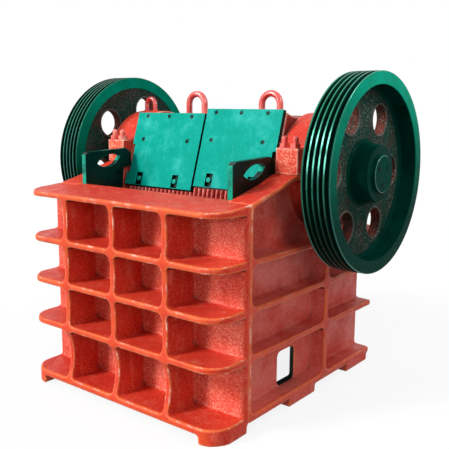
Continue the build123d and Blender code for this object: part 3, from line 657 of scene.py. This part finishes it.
for side_name in SIDES:
    plate(
        f"guard_plate_{side_name}",
        GUARD_TEAL,
        edge=0.002,
        worn_or_highlit=GUARD_EDGE,
        # Faces that look along X are painted dark, as painted shade
        sides=GUARD_SIDE_SHADE,
        on_side=lambda face: abs(face.normal.x) > 0.7,
    )
    plate(
        f"guard_bolts_{side_name}",
        BOLT_DARK_SHADE,
        edge=0.002,
        worn_or_highlit=BOLT_EDGE_HIGHLIGHT,
        sides=GUARD_TEAL,
        on_side=lambda face: face.center.z < SLOT_BOLTS_BELOW,
    )
    plate(
        f"cheek_upper_{side_name}",
        CHEEK_GREEN_SHADED,
        edge=0.005,
        worn_or_highlit=CHEEK_EDGE,
        sides=CHEEK_FRONT_LIT,
        on_side=lambda face: face.normal.y < -0.7,
    )
    plate(f"cheek_lower_{side_name}", CHEEK_GREEN_SHADED, edge=0.004)
    plate(f"shaft_cover_{side_name}", COVER_GREEN, edge=0.003, worn_or_highlit=COVER_EDGE_HIGHLIGHT)
    plate(f"bearing_cover_{side_name}", HOUSING_RED, edge=0.003)
    plate(f"jaw_seal_{side_name}", JAW_RED_SHADED, edge=0.002)
plate("moving_jaw_plate", LINER_RED, edge=0.002)
plate("fixed_jaw_plate", LINER_RED, edge=0.002)
plate("eccentric_shaft", SHAFT_STEEL, edge=0.002)
plate("tension_rods", GEAR_IRON, edge=0.002)


# Flywheels, turned about the shaft

WHEEL_INNER_X = 0.766
WHEEL_WIDTH = 0.150
WHEEL_RADIUS = 0.495
RIM_INNER_RADIUS = 0.430
RIM_EDGE = 0.004
WEB_INNER_X = 0.771
WEB_THICKNESS = 0.049
WEB_FILLET = 0.018
HUB_RADIUS = 0.140
HUB_TAPER = 0.012
BORE_RADIUS = 0.0801
GROOVES = 5
GROOVE_PITCH = 0.0285
GROOVE_HALF_TOP = 0.0095
GROOVE_HALF_FLOOR = 0.005
GROOVE_DEPTH = 0.018
LAND_DROP = 0.002
LAND_HALF = 0.0036
WEB_HOLES = 6
HOLE_RADIUS = 0.076
HOLE_PITCH_RADIUS = 0.305
HOLE_PHASE = {"left": radians(75), "right": radians(58)}
TURNING_STEPS = 180
EDGE_STEPS = 3
FILLET_STEPS = 6
DRILL_SIDES = 56
WHEEL_SMOOTH = radians(32)


def arc_points(centre, radius, start, end, steps):
    """Points of an arc in a profile, as (x, radius) pairs."""
    return [
        (
            centre[0] + radius * cos(start + (end - start) * i / steps),
            centre[1] + radius * sin(start + (end - start) * i / steps),
        )
        for i in range(steps + 1)
    ]


def wheel_profile():
    """The flywheel's section: its points in order, each with the finish of the edge it starts."""
    outer_x = WHEEL_INNER_X + WHEEL_WIDTH
    web_outer_x = WEB_INNER_X + WEB_THICKNESS
    edge_r = WHEEL_RADIUS - RIM_EDGE
    section = []

    def run(finish, points):
        """Adds points whose edges share a finish."""
        section.extend((point, finish) for point in points)

    # Inner face, grooved tread and outer face
    run("face", [(WHEEL_INNER_X, RIM_INNER_RADIUS)])
    run("land", arc_points((WHEEL_INNER_X + RIM_EDGE, edge_r), RIM_EDGE, pi, pi / 2, EDGE_STEPS))
    middle = WHEEL_INNER_X + WHEEL_WIDTH / 2
    for i in range(GROOVES):
        x = middle + (i - (GROOVES - 1) / 2) * GROOVE_PITCH
        groove = [
            (x - GROOVE_HALF_TOP, WHEEL_RADIUS - LAND_DROP),
            (x - GROOVE_HALF_FLOOR, WHEEL_RADIUS - GROOVE_DEPTH),
            (x + GROOVE_HALF_FLOOR, WHEEL_RADIUS - GROOVE_DEPTH),
            (x + GROOVE_HALF_TOP, WHEEL_RADIUS - LAND_DROP),
        ]
        run("groove", groove)
        if i < GROOVES - 1:
            crest = x + GROOVE_PITCH / 2
            run("land", [(crest - LAND_HALF, WHEEL_RADIUS)])
            run("groove", [(crest + LAND_HALF, WHEEL_RADIUS)])
    run("land", arc_points((outer_x - RIM_EDGE, edge_r), RIM_EDGE, pi / 2, 0, EDGE_STEPS)[:-1])
    run("face", [(outer_x, edge_r)])

    # Inside of the rim, and the web's outer side
    centre = (outer_x - RIM_EDGE, RIM_INNER_RADIUS + RIM_EDGE)
    inner_edge = arc_points(centre, RIM_EDGE, 0, -pi / 2, EDGE_STEPS)
    run("face", inner_edge[:-1])
    run("rim inside", inner_edge[-1:])
    centre = (web_outer_x + WEB_FILLET, RIM_INNER_RADIUS - WEB_FILLET)
    dish = arc_points(centre, WEB_FILLET, pi / 2, pi, FILLET_STEPS)
    run("rim inside", dish[:-1])
    run("web", dish[-1:])

    # Hub, bore and the web's inner side
    centre = (web_outer_x + WEB_FILLET, HUB_RADIUS + HUB_TAPER + WEB_FILLET)
    run("hub", arc_points(centre, WEB_FILLET, pi, 3 * pi / 2, FILLET_STEPS))
    run("hub", arc_points((outer_x - RIM_EDGE, HUB_RADIUS - RIM_EDGE), RIM_EDGE, pi / 2, 0, EDGE_STEPS))
    run("hub", [(outer_x, BORE_RADIUS), (WHEEL_INNER_X, BORE_RADIUS)])
    run("hub", [(WHEEL_INNER_X, HUB_RADIUS - RIM_EDGE), (WHEEL_INNER_X + RIM_EDGE, HUB_RADIUS)])
    run("web", [(WEB_INNER_X, HUB_RADIUS + HUB_TAPER)])
    run("face", [(WEB_INNER_X, RIM_INNER_RADIUS)])
    return section


def turned(profile, side, name, finishes):
    """A closed section turned about the shaft, with a finish for each of its edges."""
    bm = bmesh.new()
    rings = []
    for (x, radius), _ in profile:
        ring = []
        for j in range(TURNING_STEPS):
            angle = tau * j / TURNING_STEPS
            place = (side * x, shaft.y + radius * cos(angle), shaft.z + radius * sin(angle))
            ring.append(bm.verts.new(place))
        rings.append(ring)
    order = list(finishes)
    for i, ring in enumerate(rings):
        following = rings[(i + 1) % len(rings)]
        for j in range(TURNING_STEPS):
            k = (j + 1) % TURNING_STEPS
            quad = bm.faces.new((ring[j], ring[k], following[k], following[j]))
            quad.material_index = order.index(profile[i][1])
    bmesh.ops.recalc_face_normals(bm, faces=bm.faces)
    wheel = piece_from(bm, name)
    for finish in finishes.values():
        wheel.data.materials.append(finish)
    return wheel


def web_drills(side, phase):
    """Round bars through the web where its holes go."""
    bm = bmesh.new()
    for i in range(WEB_HOLES):
        angle = phase + tau * i / WEB_HOLES
        place = Matrix.Translation(
            (
                side * (WEB_INNER_X + WEB_THICKNESS / 2),
                shaft.y + HOLE_PITCH_RADIUS * cos(angle),
                shaft.z + HOLE_PITCH_RADIUS * sin(angle),
            )
        )
        bmesh.ops.create_cone(
            bm,
            cap_ends=True,
            segments=DRILL_SIDES,
            radius1=HOLE_RADIUS,
            radius2=HOLE_RADIUS,
            depth=3 * WEB_THICKNESS,
            matrix=place @ Matrix.Rotation(pi / 2, 4, "Y"),
        )
    return piece_from(bm, "web_drills")


def make_flywheel(side_name, side):
    """A turned wheel whose web is drilled, with a finish of their own for the walls of the holes."""
    wheel = turned(wheel_profile(), side, f"flywheel_{side_name}_turned", WHEEL_FINISHES)
    drills = web_drills(side, HOLE_PHASE[side_name])
    wall_slot = list(WHEEL_FINISHES).index("hole wall")
    for _ in WHEEL_FINISHES:
        drills.data.materials.append(None)
    for polygon in drills.data.polygons:
        polygon.material_index = wall_slot
    cut = wheel.modifiers.new("Web holes", "BOOLEAN")
    cut.operation = "DIFFERENCE"
    cut.solver = "EXACT"
    cut.object = drills
    apply_modifiers(wheel)
    bpy.data.objects.remove(drills)
    smooth_faces(wheel, WHEEL_SMOOTH)
    flatten_shading(wheel)
    stands_for(wheel, f"flywheel_{side_name}")


for side_name, side in SIDES.items():
    make_flywheel(side_name, side)


# Dark packing behind the slots of the guard plates, near black as painted shade

GUARD_LEAN = radians(17.2)
GUARD_FOOT = Vector((0, -0.145, 1.040))
GUARD_UP = Vector((0, sin(GUARD_LEAN), cos(GUARD_LEAN)))
GUARD_BACK = Vector((0, cos(GUARD_LEAN), -sin(GUARD_LEAN)))
SLOT_X = {"left": (-0.124, -0.393), "right": (0.112, 0.381)}
SLOT_RISE = {"left": 0.0395, "right": 0.0655}
PACKING_HALF = (0.0225, 0.036)
PACKING_DEPTH = (0.020, 0.0245)
PACKING_EDGE = 0.001


def slot_packing(side_name):
    """Packing pieces that close the slots from behind, with softened edges, dark as painted shade."""
    bm = bmesh.new()
    turn = Matrix((Vector((1, 0, 0)), GUARD_UP, GUARD_BACK)).transposed().to_4x4()
    size = Matrix.Diagonal(
        (2 * PACKING_HALF[0], 2 * PACKING_HALF[1], PACKING_DEPTH[1] - PACKING_DEPTH[0], 1)
    )
    for x in SLOT_X[side_name]:
        middle = GUARD_FOOT + GUARD_UP * SLOT_RISE[side_name] + GUARD_BACK * sum(PACKING_DEPTH) / 2
        middle.x = x
        bmesh.ops.create_cube(bm, size=1, matrix=Matrix.Translation(middle) @ turn @ size)
    bmesh.ops.bevel(bm, geom=bm.edges[:], offset=PACKING_EDGE, segments=2, affect="EDGES")
    bmesh.ops.recalc_face_normals(bm, faces=bm.faces)
    piece = piece_from(bm, f"guard_slot_packing_{side_name}")
    piece.data.materials.append(GUARD_SIDE_SHADE)
    smooth_faces(piece, PLATE_SMOOTH)
    rides_with(piece, f"guard_plate_{side_name}")


for side_name in SIDES:
    slot_packing(side_name)


# What repeats or follows a path, grown by Geometry Nodes

PATTERN_SMOOTH = radians(35)


class Pattern:
    """A Geometry Nodes tree whose named inputs are the sizes of what it makes."""

    def __init__(self, name, sizes):
        self.name = name
        self.tree = bpy.data.node_groups.new(name, "GeometryNodeTree")
        sockets = self.tree.interface
        for way in ("INPUT", "OUTPUT"):
            sockets.new_socket("Geometry", in_out=way, socket_type="NodeSocketGeometry")
        self.identifiers = {}
        for key, kind in {**sizes, "Material": "Material"}.items():
            socket = sockets.new_socket(key, in_out="INPUT", socket_type="NodeSocket" + kind)
            self.identifiers[key] = socket.identifier
        self.given = self.add("NodeGroupInput").outputs

    def add(self, kind, inputs=None, **settings):
        """A node of this tree."""
        return add_node(self.tree, kind, inputs, settings)

    def maths(self, operation, first, second):
        """One step of arithmetic on two sizes."""
        return self.add("ShaderNodeMath", {0: first, 1: second}, operation=operation).outputs[0]

    def vector(self, z):
        """A vector up Z."""
        return self.add("ShaderNodeCombineXYZ", {2: z}).outputs[0]

    def moved(self, geometry, offset, turn=(0, 0, 0)):
        """The geometry turned about the origin, then moved."""
        inputs = {"Geometry": geometry, "Translation": offset, "Rotation": turn}
        return self.add("GeometryNodeTransform", inputs).outputs[0]

    def bar(self, radius, low, high, sides):
        """Upright bar between two heights."""
        depth = self.maths("SUBTRACT", high, low)
        inputs = {"Vertices": sides, "Radius": radius, "Depth": depth}
        rod = self.add("GeometryNodeMeshCylinder", inputs).outputs["Mesh"]
        middle = self.maths("MULTIPLY", self.maths("ADD", high, low), 0.5)
        return self.moved(rod, self.vector(middle))

    def circle_points(self):
        """As many points as the pattern's count, on its pitch circle."""
        inputs = {"Vertices": self.given["Count"], "Radius": self.given["Pitch radius"]}
        return self.add("GeometryNodeMeshCircle", inputs).outputs["Mesh"]

    def swept(self, path, radius, steps, capped=True):
        """A round bar of this radius along a curve."""
        section = self.add("GeometryNodeCurvePrimitiveCircle", {"Resolution": steps, "Radius": radius})
        inputs = {"Curve": path, "Profile Curve": section.outputs[0], "Fill Caps": capped}
        return self.add("GeometryNodeCurveToMesh", inputs).outputs[0]

    def join(self, *pieces):
        """Several pieces of geometry as one."""
        node = self.add("GeometryNodeJoinGeometry")
        for piece in pieces:
            self.tree.links.new(piece, node.inputs[0])
        return node.outputs[0]

    def on_points(self, points, piece):
        """The piece repeated at each point."""
        inputs = {"Points": points, "Instance": piece}
        return self.add("GeometryNodeInstanceOnPoints", inputs).outputs[0]

    def close(self, geometry):
        """Ends the tree with real geometry in its finish."""
        real = self.add("GeometryNodeRealizeInstances", {"Geometry": geometry}).outputs[0]
        inputs = {"Geometry": real, "Material": self.given["Material"]}
        painted = self.add("GeometryNodeSetMaterial", inputs).outputs[0]
        self.add("NodeGroupOutput", {"Geometry": painted})
        return self

    def grow(self, name, finish, sizes, base=None):
        """A plain mesh made by the tree, with its place in its mesh."""
        obj = link(bpy.data.objects.new(name, base or bpy.data.meshes.new(name)))
        modifier = obj.modifiers.new(self.name, "NODES")
        modifier.node_group = self.tree
        for key, value in {**sizes, "Material": finish}.items():
            modifier[self.identifiers[key]] = value
        apply_modifiers(obj)
        return smooth_faces(obj, PATTERN_SMOOTH)


def points_mesh(name, places, chained=False):
    """A bare mesh of points, joined in a chain where something runs along them."""
    mesh = bpy.data.meshes.new(name)
    edges = [(i, i + 1) for i in range(len(places) - 1)] if chained else []
    mesh.from_pydata(places, edges, [])
    return mesh


def stud_pattern():
    """Hexagon nut on a washer, with a domed stud end, at each point."""
    sizes = ("Stud radius", "Stud height", "Nut radius", "Nut height")
    p = Pattern("studs_and_nuts", dict.fromkeys(sizes, "Float"))
    washer_top = 0.004
    washer_radius = p.maths("MULTIPLY", p.given["Nut radius"], 1.12)
    dome = p.maths("SUBTRACT", p.given["Stud height"], p.given["Stud radius"])
    washer = p.bar(washer_radius, 0.0, washer_top, 32)
    nut = p.bar(p.given["Nut radius"], washer_top, p.given["Nut height"], 6)
    stud = p.bar(p.given["Stud radius"], p.given["Nut height"], dome, 24)
    ball_sizes = {"Segments": 24, "Rings": 12, "Radius": p.given["Stud radius"]}
    ball = p.add("GeometryNodeMeshUVSphere", ball_sizes).outputs["Mesh"]
    ball = p.moved(ball, p.vector(dome))
    return p.close(p.on_points(p.given["Geometry"], p.join(washer, nut, stud, ball)))


def bolt_ring_pattern():
    """Hexagon heads on a circle about the shaft, on a face that looks along X."""
    sizes = {
        "Count": "Int",
        "Pitch radius": "Float",
        "Head radius": "Float",
        "Head height": "Float",
        "Place": "Vector",
    }
    p = Pattern("bolt_ring", sizes)
    root = -0.001
    head = p.bar(p.given["Head radius"], root, p.given["Head height"], 6)
    return p.close(p.moved(p.on_points(p.circle_points(), head), p.given["Place"], (0, pi / 2, 0)))


def collar_pattern():
    """Raised cast rims round the holes of a web."""
    sizes = {
        "Count": "Int",
        "Pitch radius": "Float",
        "Rim radius": "Float",
        "Bead": "Float",
        "Phase": "Float",
        "Place": "Vector",
    }
    p = Pattern("hole_rims", sizes)
    path = p.add("GeometryNodeCurvePrimitiveCircle", {"Resolution": 48, "Radius": p.given["Rim radius"]})
    bead = p.swept(path.outputs[0], p.given["Bead"], 10, capped=False)
    turned_ring = p.moved(p.on_points(p.circle_points(), bead), (0, 0, 0), p.vector(p.given["Phase"]))
    return p.close(p.moved(turned_ring, p.given["Place"], (0, pi / 2, 0)))


def bent_bar_pattern():
    """Round bar bent along the chain of points that it is given."""
    p = Pattern("bent_bar", {"Bar radius": "Float"})
    path = p.add("GeometryNodeMeshToCurve", {"Mesh": p.given["Geometry"]}).outputs[0]
    return p.close(p.swept(path, p.given["Bar radius"], 28))


def spring_pattern():
    """Coil spring between two washers, along +Y from its place."""
    sizes = ("Turns", "Coil radius", "Wire radius", "Length", "Washer radius", "Washer thickness")
    p = Pattern("coil_spring", dict.fromkeys(sizes, "Float"))
    start = p.maths("ADD", p.given["Washer thickness"], p.given["Wire radius"])
    rise = p.maths("SUBTRACT", p.given["Length"], p.maths("MULTIPLY", p.given["Wire radius"], 2.0))
    coil_sizes = {
        "Resolution": 40,
        "Rotations": p.given["Turns"],
        "Start Radius": p.given["Coil radius"],
        "End Radius": p.given["Coil radius"],
        "Height": rise,
    }
    coil = p.add("GeometryNodeCurveSpiral", coil_sizes).outputs[0]
    wire = p.moved(p.swept(coil, p.given["Wire radius"], 12), p.vector(start))
    near = p.bar(p.given["Washer radius"], 0.0, p.given["Washer thickness"], 40)
    far_start = p.maths("ADD", p.given["Washer thickness"], p.given["Length"])
    far_end = p.maths("ADD", far_start, p.given["Washer thickness"])
    far = p.bar(p.given["Washer radius"], far_start, far_end, 40)
    spring = p.moved(p.join(wire, near, far), (0, 0, 0), (-pi / 2, 0, 0))
    return p.close(p.on_points(p.given["Geometry"], spring))


EAR_TOP_Z = 1.287
STUD_X = (0.562, 0.624)
STUD_Y = (-0.096, 0.536)
STUD_SIZES = {"Stud radius": 0.015, "Stud height": 0.060, "Nut radius": 0.0262, "Nut height": 0.024}
JAW_EYE = {"x": 0.262, "low": 1.443, "top": 1.571, "outer": 0.077, "bar": 0.018}
CAP_EYE = {"x": 0.638, "low": 1.456, "top": 1.539, "outer": 0.048, "bar": 0.013}
EYE_STEPS = 24
BOLT_HEAD_RADIUS = 0.012
COVER_BOLTS = {"face_x": 0.722, "count": 12, "pitch": 0.170, "height": 0.010}
SHAFT_COVER_BOLTS = {"face_x": 0.934, "count": 3, "pitch": 0.054, "height": 0.003}
HOLE_RIM_GAP = 0.006
HOLE_RIM_BEAD = 0.005
SPRING_X = 0.12875
SPRING_Y = 0.615
SPRING_Z = 0.190
SPRING_SIZES = {
    "Turns": 4.5,
    "Coil radius": 0.034,
    "Wire radius": 0.007,
    "Length": 0.068,
    "Washer radius": 0.050,
    "Washer thickness": 0.008,
}

studs = stud_pattern()
bolt_rings = bolt_ring_pattern()
collars = collar_pattern()
bent_bars = bent_bar_pattern()
springs = spring_pattern()


def eye_path(side, size):
    """Points up one leg of a lifting eye, over its arch and down the other leg."""
    reach = size["outer"] - size["bar"]
    centre_z = size["top"] - size["outer"]
    middle = side * size["x"]
    arch = [
        (middle + reach * cos(pi * i / EYE_STEPS), shaft.y, centre_z + reach * sin(pi * i / EYE_STEPS))
        for i in range(EYE_STEPS + 1)
    ]
    return [(middle + reach, shaft.y, size["low"]), *arch, (middle - reach, shaft.y, size["low"])]


def ring_of_bolts(name, finish, side, size):
    """Bolt heads about the shaft, on an outer face of one side."""
    sizes = {
        "Count": size["count"],
        "Pitch radius": size["pitch"],
        "Head radius": BOLT_HEAD_RADIUS,
        "Head height": side * size["height"],
        "Place": (side * size["face_x"], shaft.y, shaft.z),
    }
    return bolt_rings.grow(name, finish, sizes)


def hole_rims(name, side_name, side, face_x):
    """The raised rims on one face of a flywheel's web."""
    sizes = {
        "Count": WEB_HOLES,
        "Pitch radius": HOLE_PITCH_RADIUS,
        "Rim radius": HOLE_RADIUS + HOLE_RIM_GAP,
        "Bead": HOLE_RIM_BEAD,
        "Phase": HOLE_PHASE[side_name] + pi / 2,
        "Place": (side * face_x, shaft.y, shaft.z),
    }
    return collars.grow(name, RIM_PALE_GLINT, sizes)


for side_name, side in SIDES.items():
    places = [(side * x, y, EAR_TOP_Z) for x in STUD_X for y in STUD_Y]
    base = points_mesh("stud_places", places)
    piece = studs.grow(f"cap_stud_set_{side_name}", STUD_RED, STUD_SIZES, base)
    stands_for(piece, f"cap_studs_{side_name}")
    for node, size in ((f"jaw_eye_{side_name}", JAW_EYE), (f"cap_eye_{side_name}", CAP_EYE)):
        base = points_mesh("eye_path", eye_path(side, size), chained=True)
        piece = bent_bars.grow(f"{node}_bar", EYE_RED, {"Bar radius": size["bar"]}, base)
        stands_for(piece, node)
    piece = ring_of_bolts(f"cover_bolts_{side_name}", STUD_RED, side, COVER_BOLTS)
    rides_with(piece, f"bearing_cover_{side_name}")
    piece = ring_of_bolts(f"shaft_cover_bolts_{side_name}", BOLT_DARK_SHADE, side, SHAFT_COVER_BOLTS)
    rides_with(piece, f"shaft_cover_{side_name}")
    for face_name, face_x in (("outer", WEB_INNER_X + WEB_THICKNESS), ("inner", WEB_INNER_X)):
        piece = hole_rims(f"web_hole_rims_{face_name}_{side_name}", side_name, side, face_x)
        rides_with(piece, f"flywheel_{side_name}")
base = points_mesh("spring_places", [(x, SPRING_Y, SPRING_Z) for x in (-SPRING_X, SPRING_X)])
piece = springs.grow("tension_spring_coils", GEAR_IRON, SPRING_SIZES, base)
stands_for(piece, "tension_springs")


# Stage, camera and light

FLOOR_REACH = 60
FLOOR_SHADE = (0.42, 0.42, 0.42, 1)
FLOOR_GLOW = 1.24
FLOOR_GLOW_SHARE = 0.7
SKY_LOW = 0.22
SKY_HIGH = 0.55
CAMERA_PLACE = Vector((2.355, -2.835, 1.485))
CAMERA_YAW = radians(38.2327)
CAMERA_PITCH = radians(9.9697)
CAMERA_ROLL = radians(0.348)
FOCAL_PIXELS = 674.71
FRAME_PIXELS = 449
SENSOR_MM = 36


def seen_share(tree):
    """1 for what the camera sees, straight on or in gloss or glass, and 0 for what lights the object."""
    path = add_node(tree, "ShaderNodeLightPath").outputs
    seen = path["Is Camera Ray"]
    for ray in ("Is Glossy Ray", "Is Transmission Ray"):
        seen = add_node(
            tree, "ShaderNodeMath", {0: seen, 1: path[ray]}, {"operation": "MAXIMUM"}
        ).outputs[0]
    return seen


def pale_floor():
    """Pale floor that stays light behind the object and keeps its shadow."""
    f = Finish("pale_floor")
    f.set(colour=FLOOR_SHADE, roughness=0.9)
    glow = f.add("ShaderNodeEmission", {"Color": WHITE, "Strength": FLOOR_GLOW})
    share = f.times(seen_share(f.tree), FLOOR_GLOW_SHARE)
    blend = f.add("ShaderNodeMixShader", {0: share, 1: f.shader.outputs[0], 2: glow.outputs[0]})
    f.tree.links.new(blend.outputs[0], f.tree.nodes["Material Output"].inputs["Surface"])
    return f.material


def make_floor():
    """Flat floor under the object."""
    bm = bmesh.new()
    bmesh.ops.create_grid(bm, x_segments=1, y_segments=1, size=FLOOR_REACH)
    floor = piece_from(bm, "floor")
    floor.data.materials.append(pale_floor())


def make_camera():
    """Camera at the photograph's viewing angle."""
    data = bpy.data.cameras.new("camera")
    data.sensor_width = SENSOR_MM
    data.lens = FOCAL_PIXELS / FRAME_PIXELS * SENSOR_MM
    camera = link(bpy.data.objects.new("camera", data))
    forward = Vector(
        (
            -sin(CAMERA_YAW) * cos(CAMERA_PITCH),
            cos(CAMERA_YAW) * cos(CAMERA_PITCH),
            -sin(CAMERA_PITCH),
        )
    )
    right = Vector((cos(CAMERA_YAW), sin(CAMERA_YAW), 0))
    up = right.cross(forward)
    right, up = (
        cos(CAMERA_ROLL) * right + sin(CAMERA_ROLL) * up,
        -sin(CAMERA_ROLL) * right + cos(CAMERA_ROLL) * up,
    )
    turn = Matrix((right, up, -forward)).transposed().to_4x4()
    camera.matrix_world = Matrix.Translation(CAMERA_PLACE) @ turn
    bpy.context.scene.camera = camera


def aim(obj, target):
    """Turns a lamp so that it shines at a point."""
    obj.rotation_euler = (Vector(target) - obj.location).to_track_quat("-Z", "Y").to_euler()


def area_lamp(name, place, target, size, watts):
    """Soft rectangular lamp that the camera doesn't see."""
    data = bpy.data.lights.new(name, "AREA")
    data.shape = "RECTANGLE"
    data.size, data.size_y = size
    data.energy = watts
    lamp = link(bpy.data.objects.new(name, data))
    lamp.location = place
    lamp.visible_camera = False
    aim(lamp, target)


def sun_lamp(name, place, strength, degrees):
    """Even light from the direction of a place, as soft as its width in degrees."""
    data = bpy.data.lights.new(name, "SUN")
    data.energy = strength
    data.angle = radians(degrees)
    lamp = link(bpy.data.objects.new(name, data))
    lamp.location = place
    aim(lamp, (0, 0, 0))


def make_lights():
    """A key and a low fill from the front left, a faint side light, and a lamp over the right wheel."""
    sun_lamp("key", (-2.3, -3.9, 3.2), strength=2.5, degrees=16)
    sun_lamp("low_fill", (-2.6, -4.3, 1.0), strength=1.1, degrees=12)
    sun_lamp("side_fill", (4.2, -2.0, 1.7), strength=0.5, degrees=30)
    area_lamp("over_wheel", (1.6, 0.3, 2.35), target=(0.92, 0.2, 1.4), size=(0.4, 0.4), watts=12)


def make_sky():
    """Even light that is stronger from above, and white where the camera looks past the object."""
    world = bpy.data.worlds.new("studio")
    bpy.context.scene.world = world
    world.use_nodes = True
    tree = world.node_tree
    direction = add_node(tree, "ShaderNodeTexCoord").outputs["Generated"]
    height = add_node(tree, "ShaderNodeSeparateXYZ", {0: direction}).outputs["Z"]
    inputs = {"Value": height, "From Min": 0.0, "From Max": 1.0, "To Min": SKY_LOW, "To Max": SKY_HIGH}
    strength = add_node(tree, "ShaderNodeMapRange", inputs).outputs["Result"]
    sky = add_node(tree, "ShaderNodeBackground", {"Color": WHITE, "Strength": strength})
    back = add_node(tree, "ShaderNodeBackground", {"Color": WHITE, "Strength": 1.0})
    inputs = {0: seen_share(tree), 1: sky.outputs[0], 2: back.outputs[0]}
    mix = add_node(tree, "ShaderNodeMixShader", inputs)
    tree.links.new(mix.outputs[0], tree.nodes["World Output"].inputs["Surface"])


make_floor()
make_camera()
make_lights()
make_sky()
bpy.context.scene.view_settings.view_transform = "Standard"
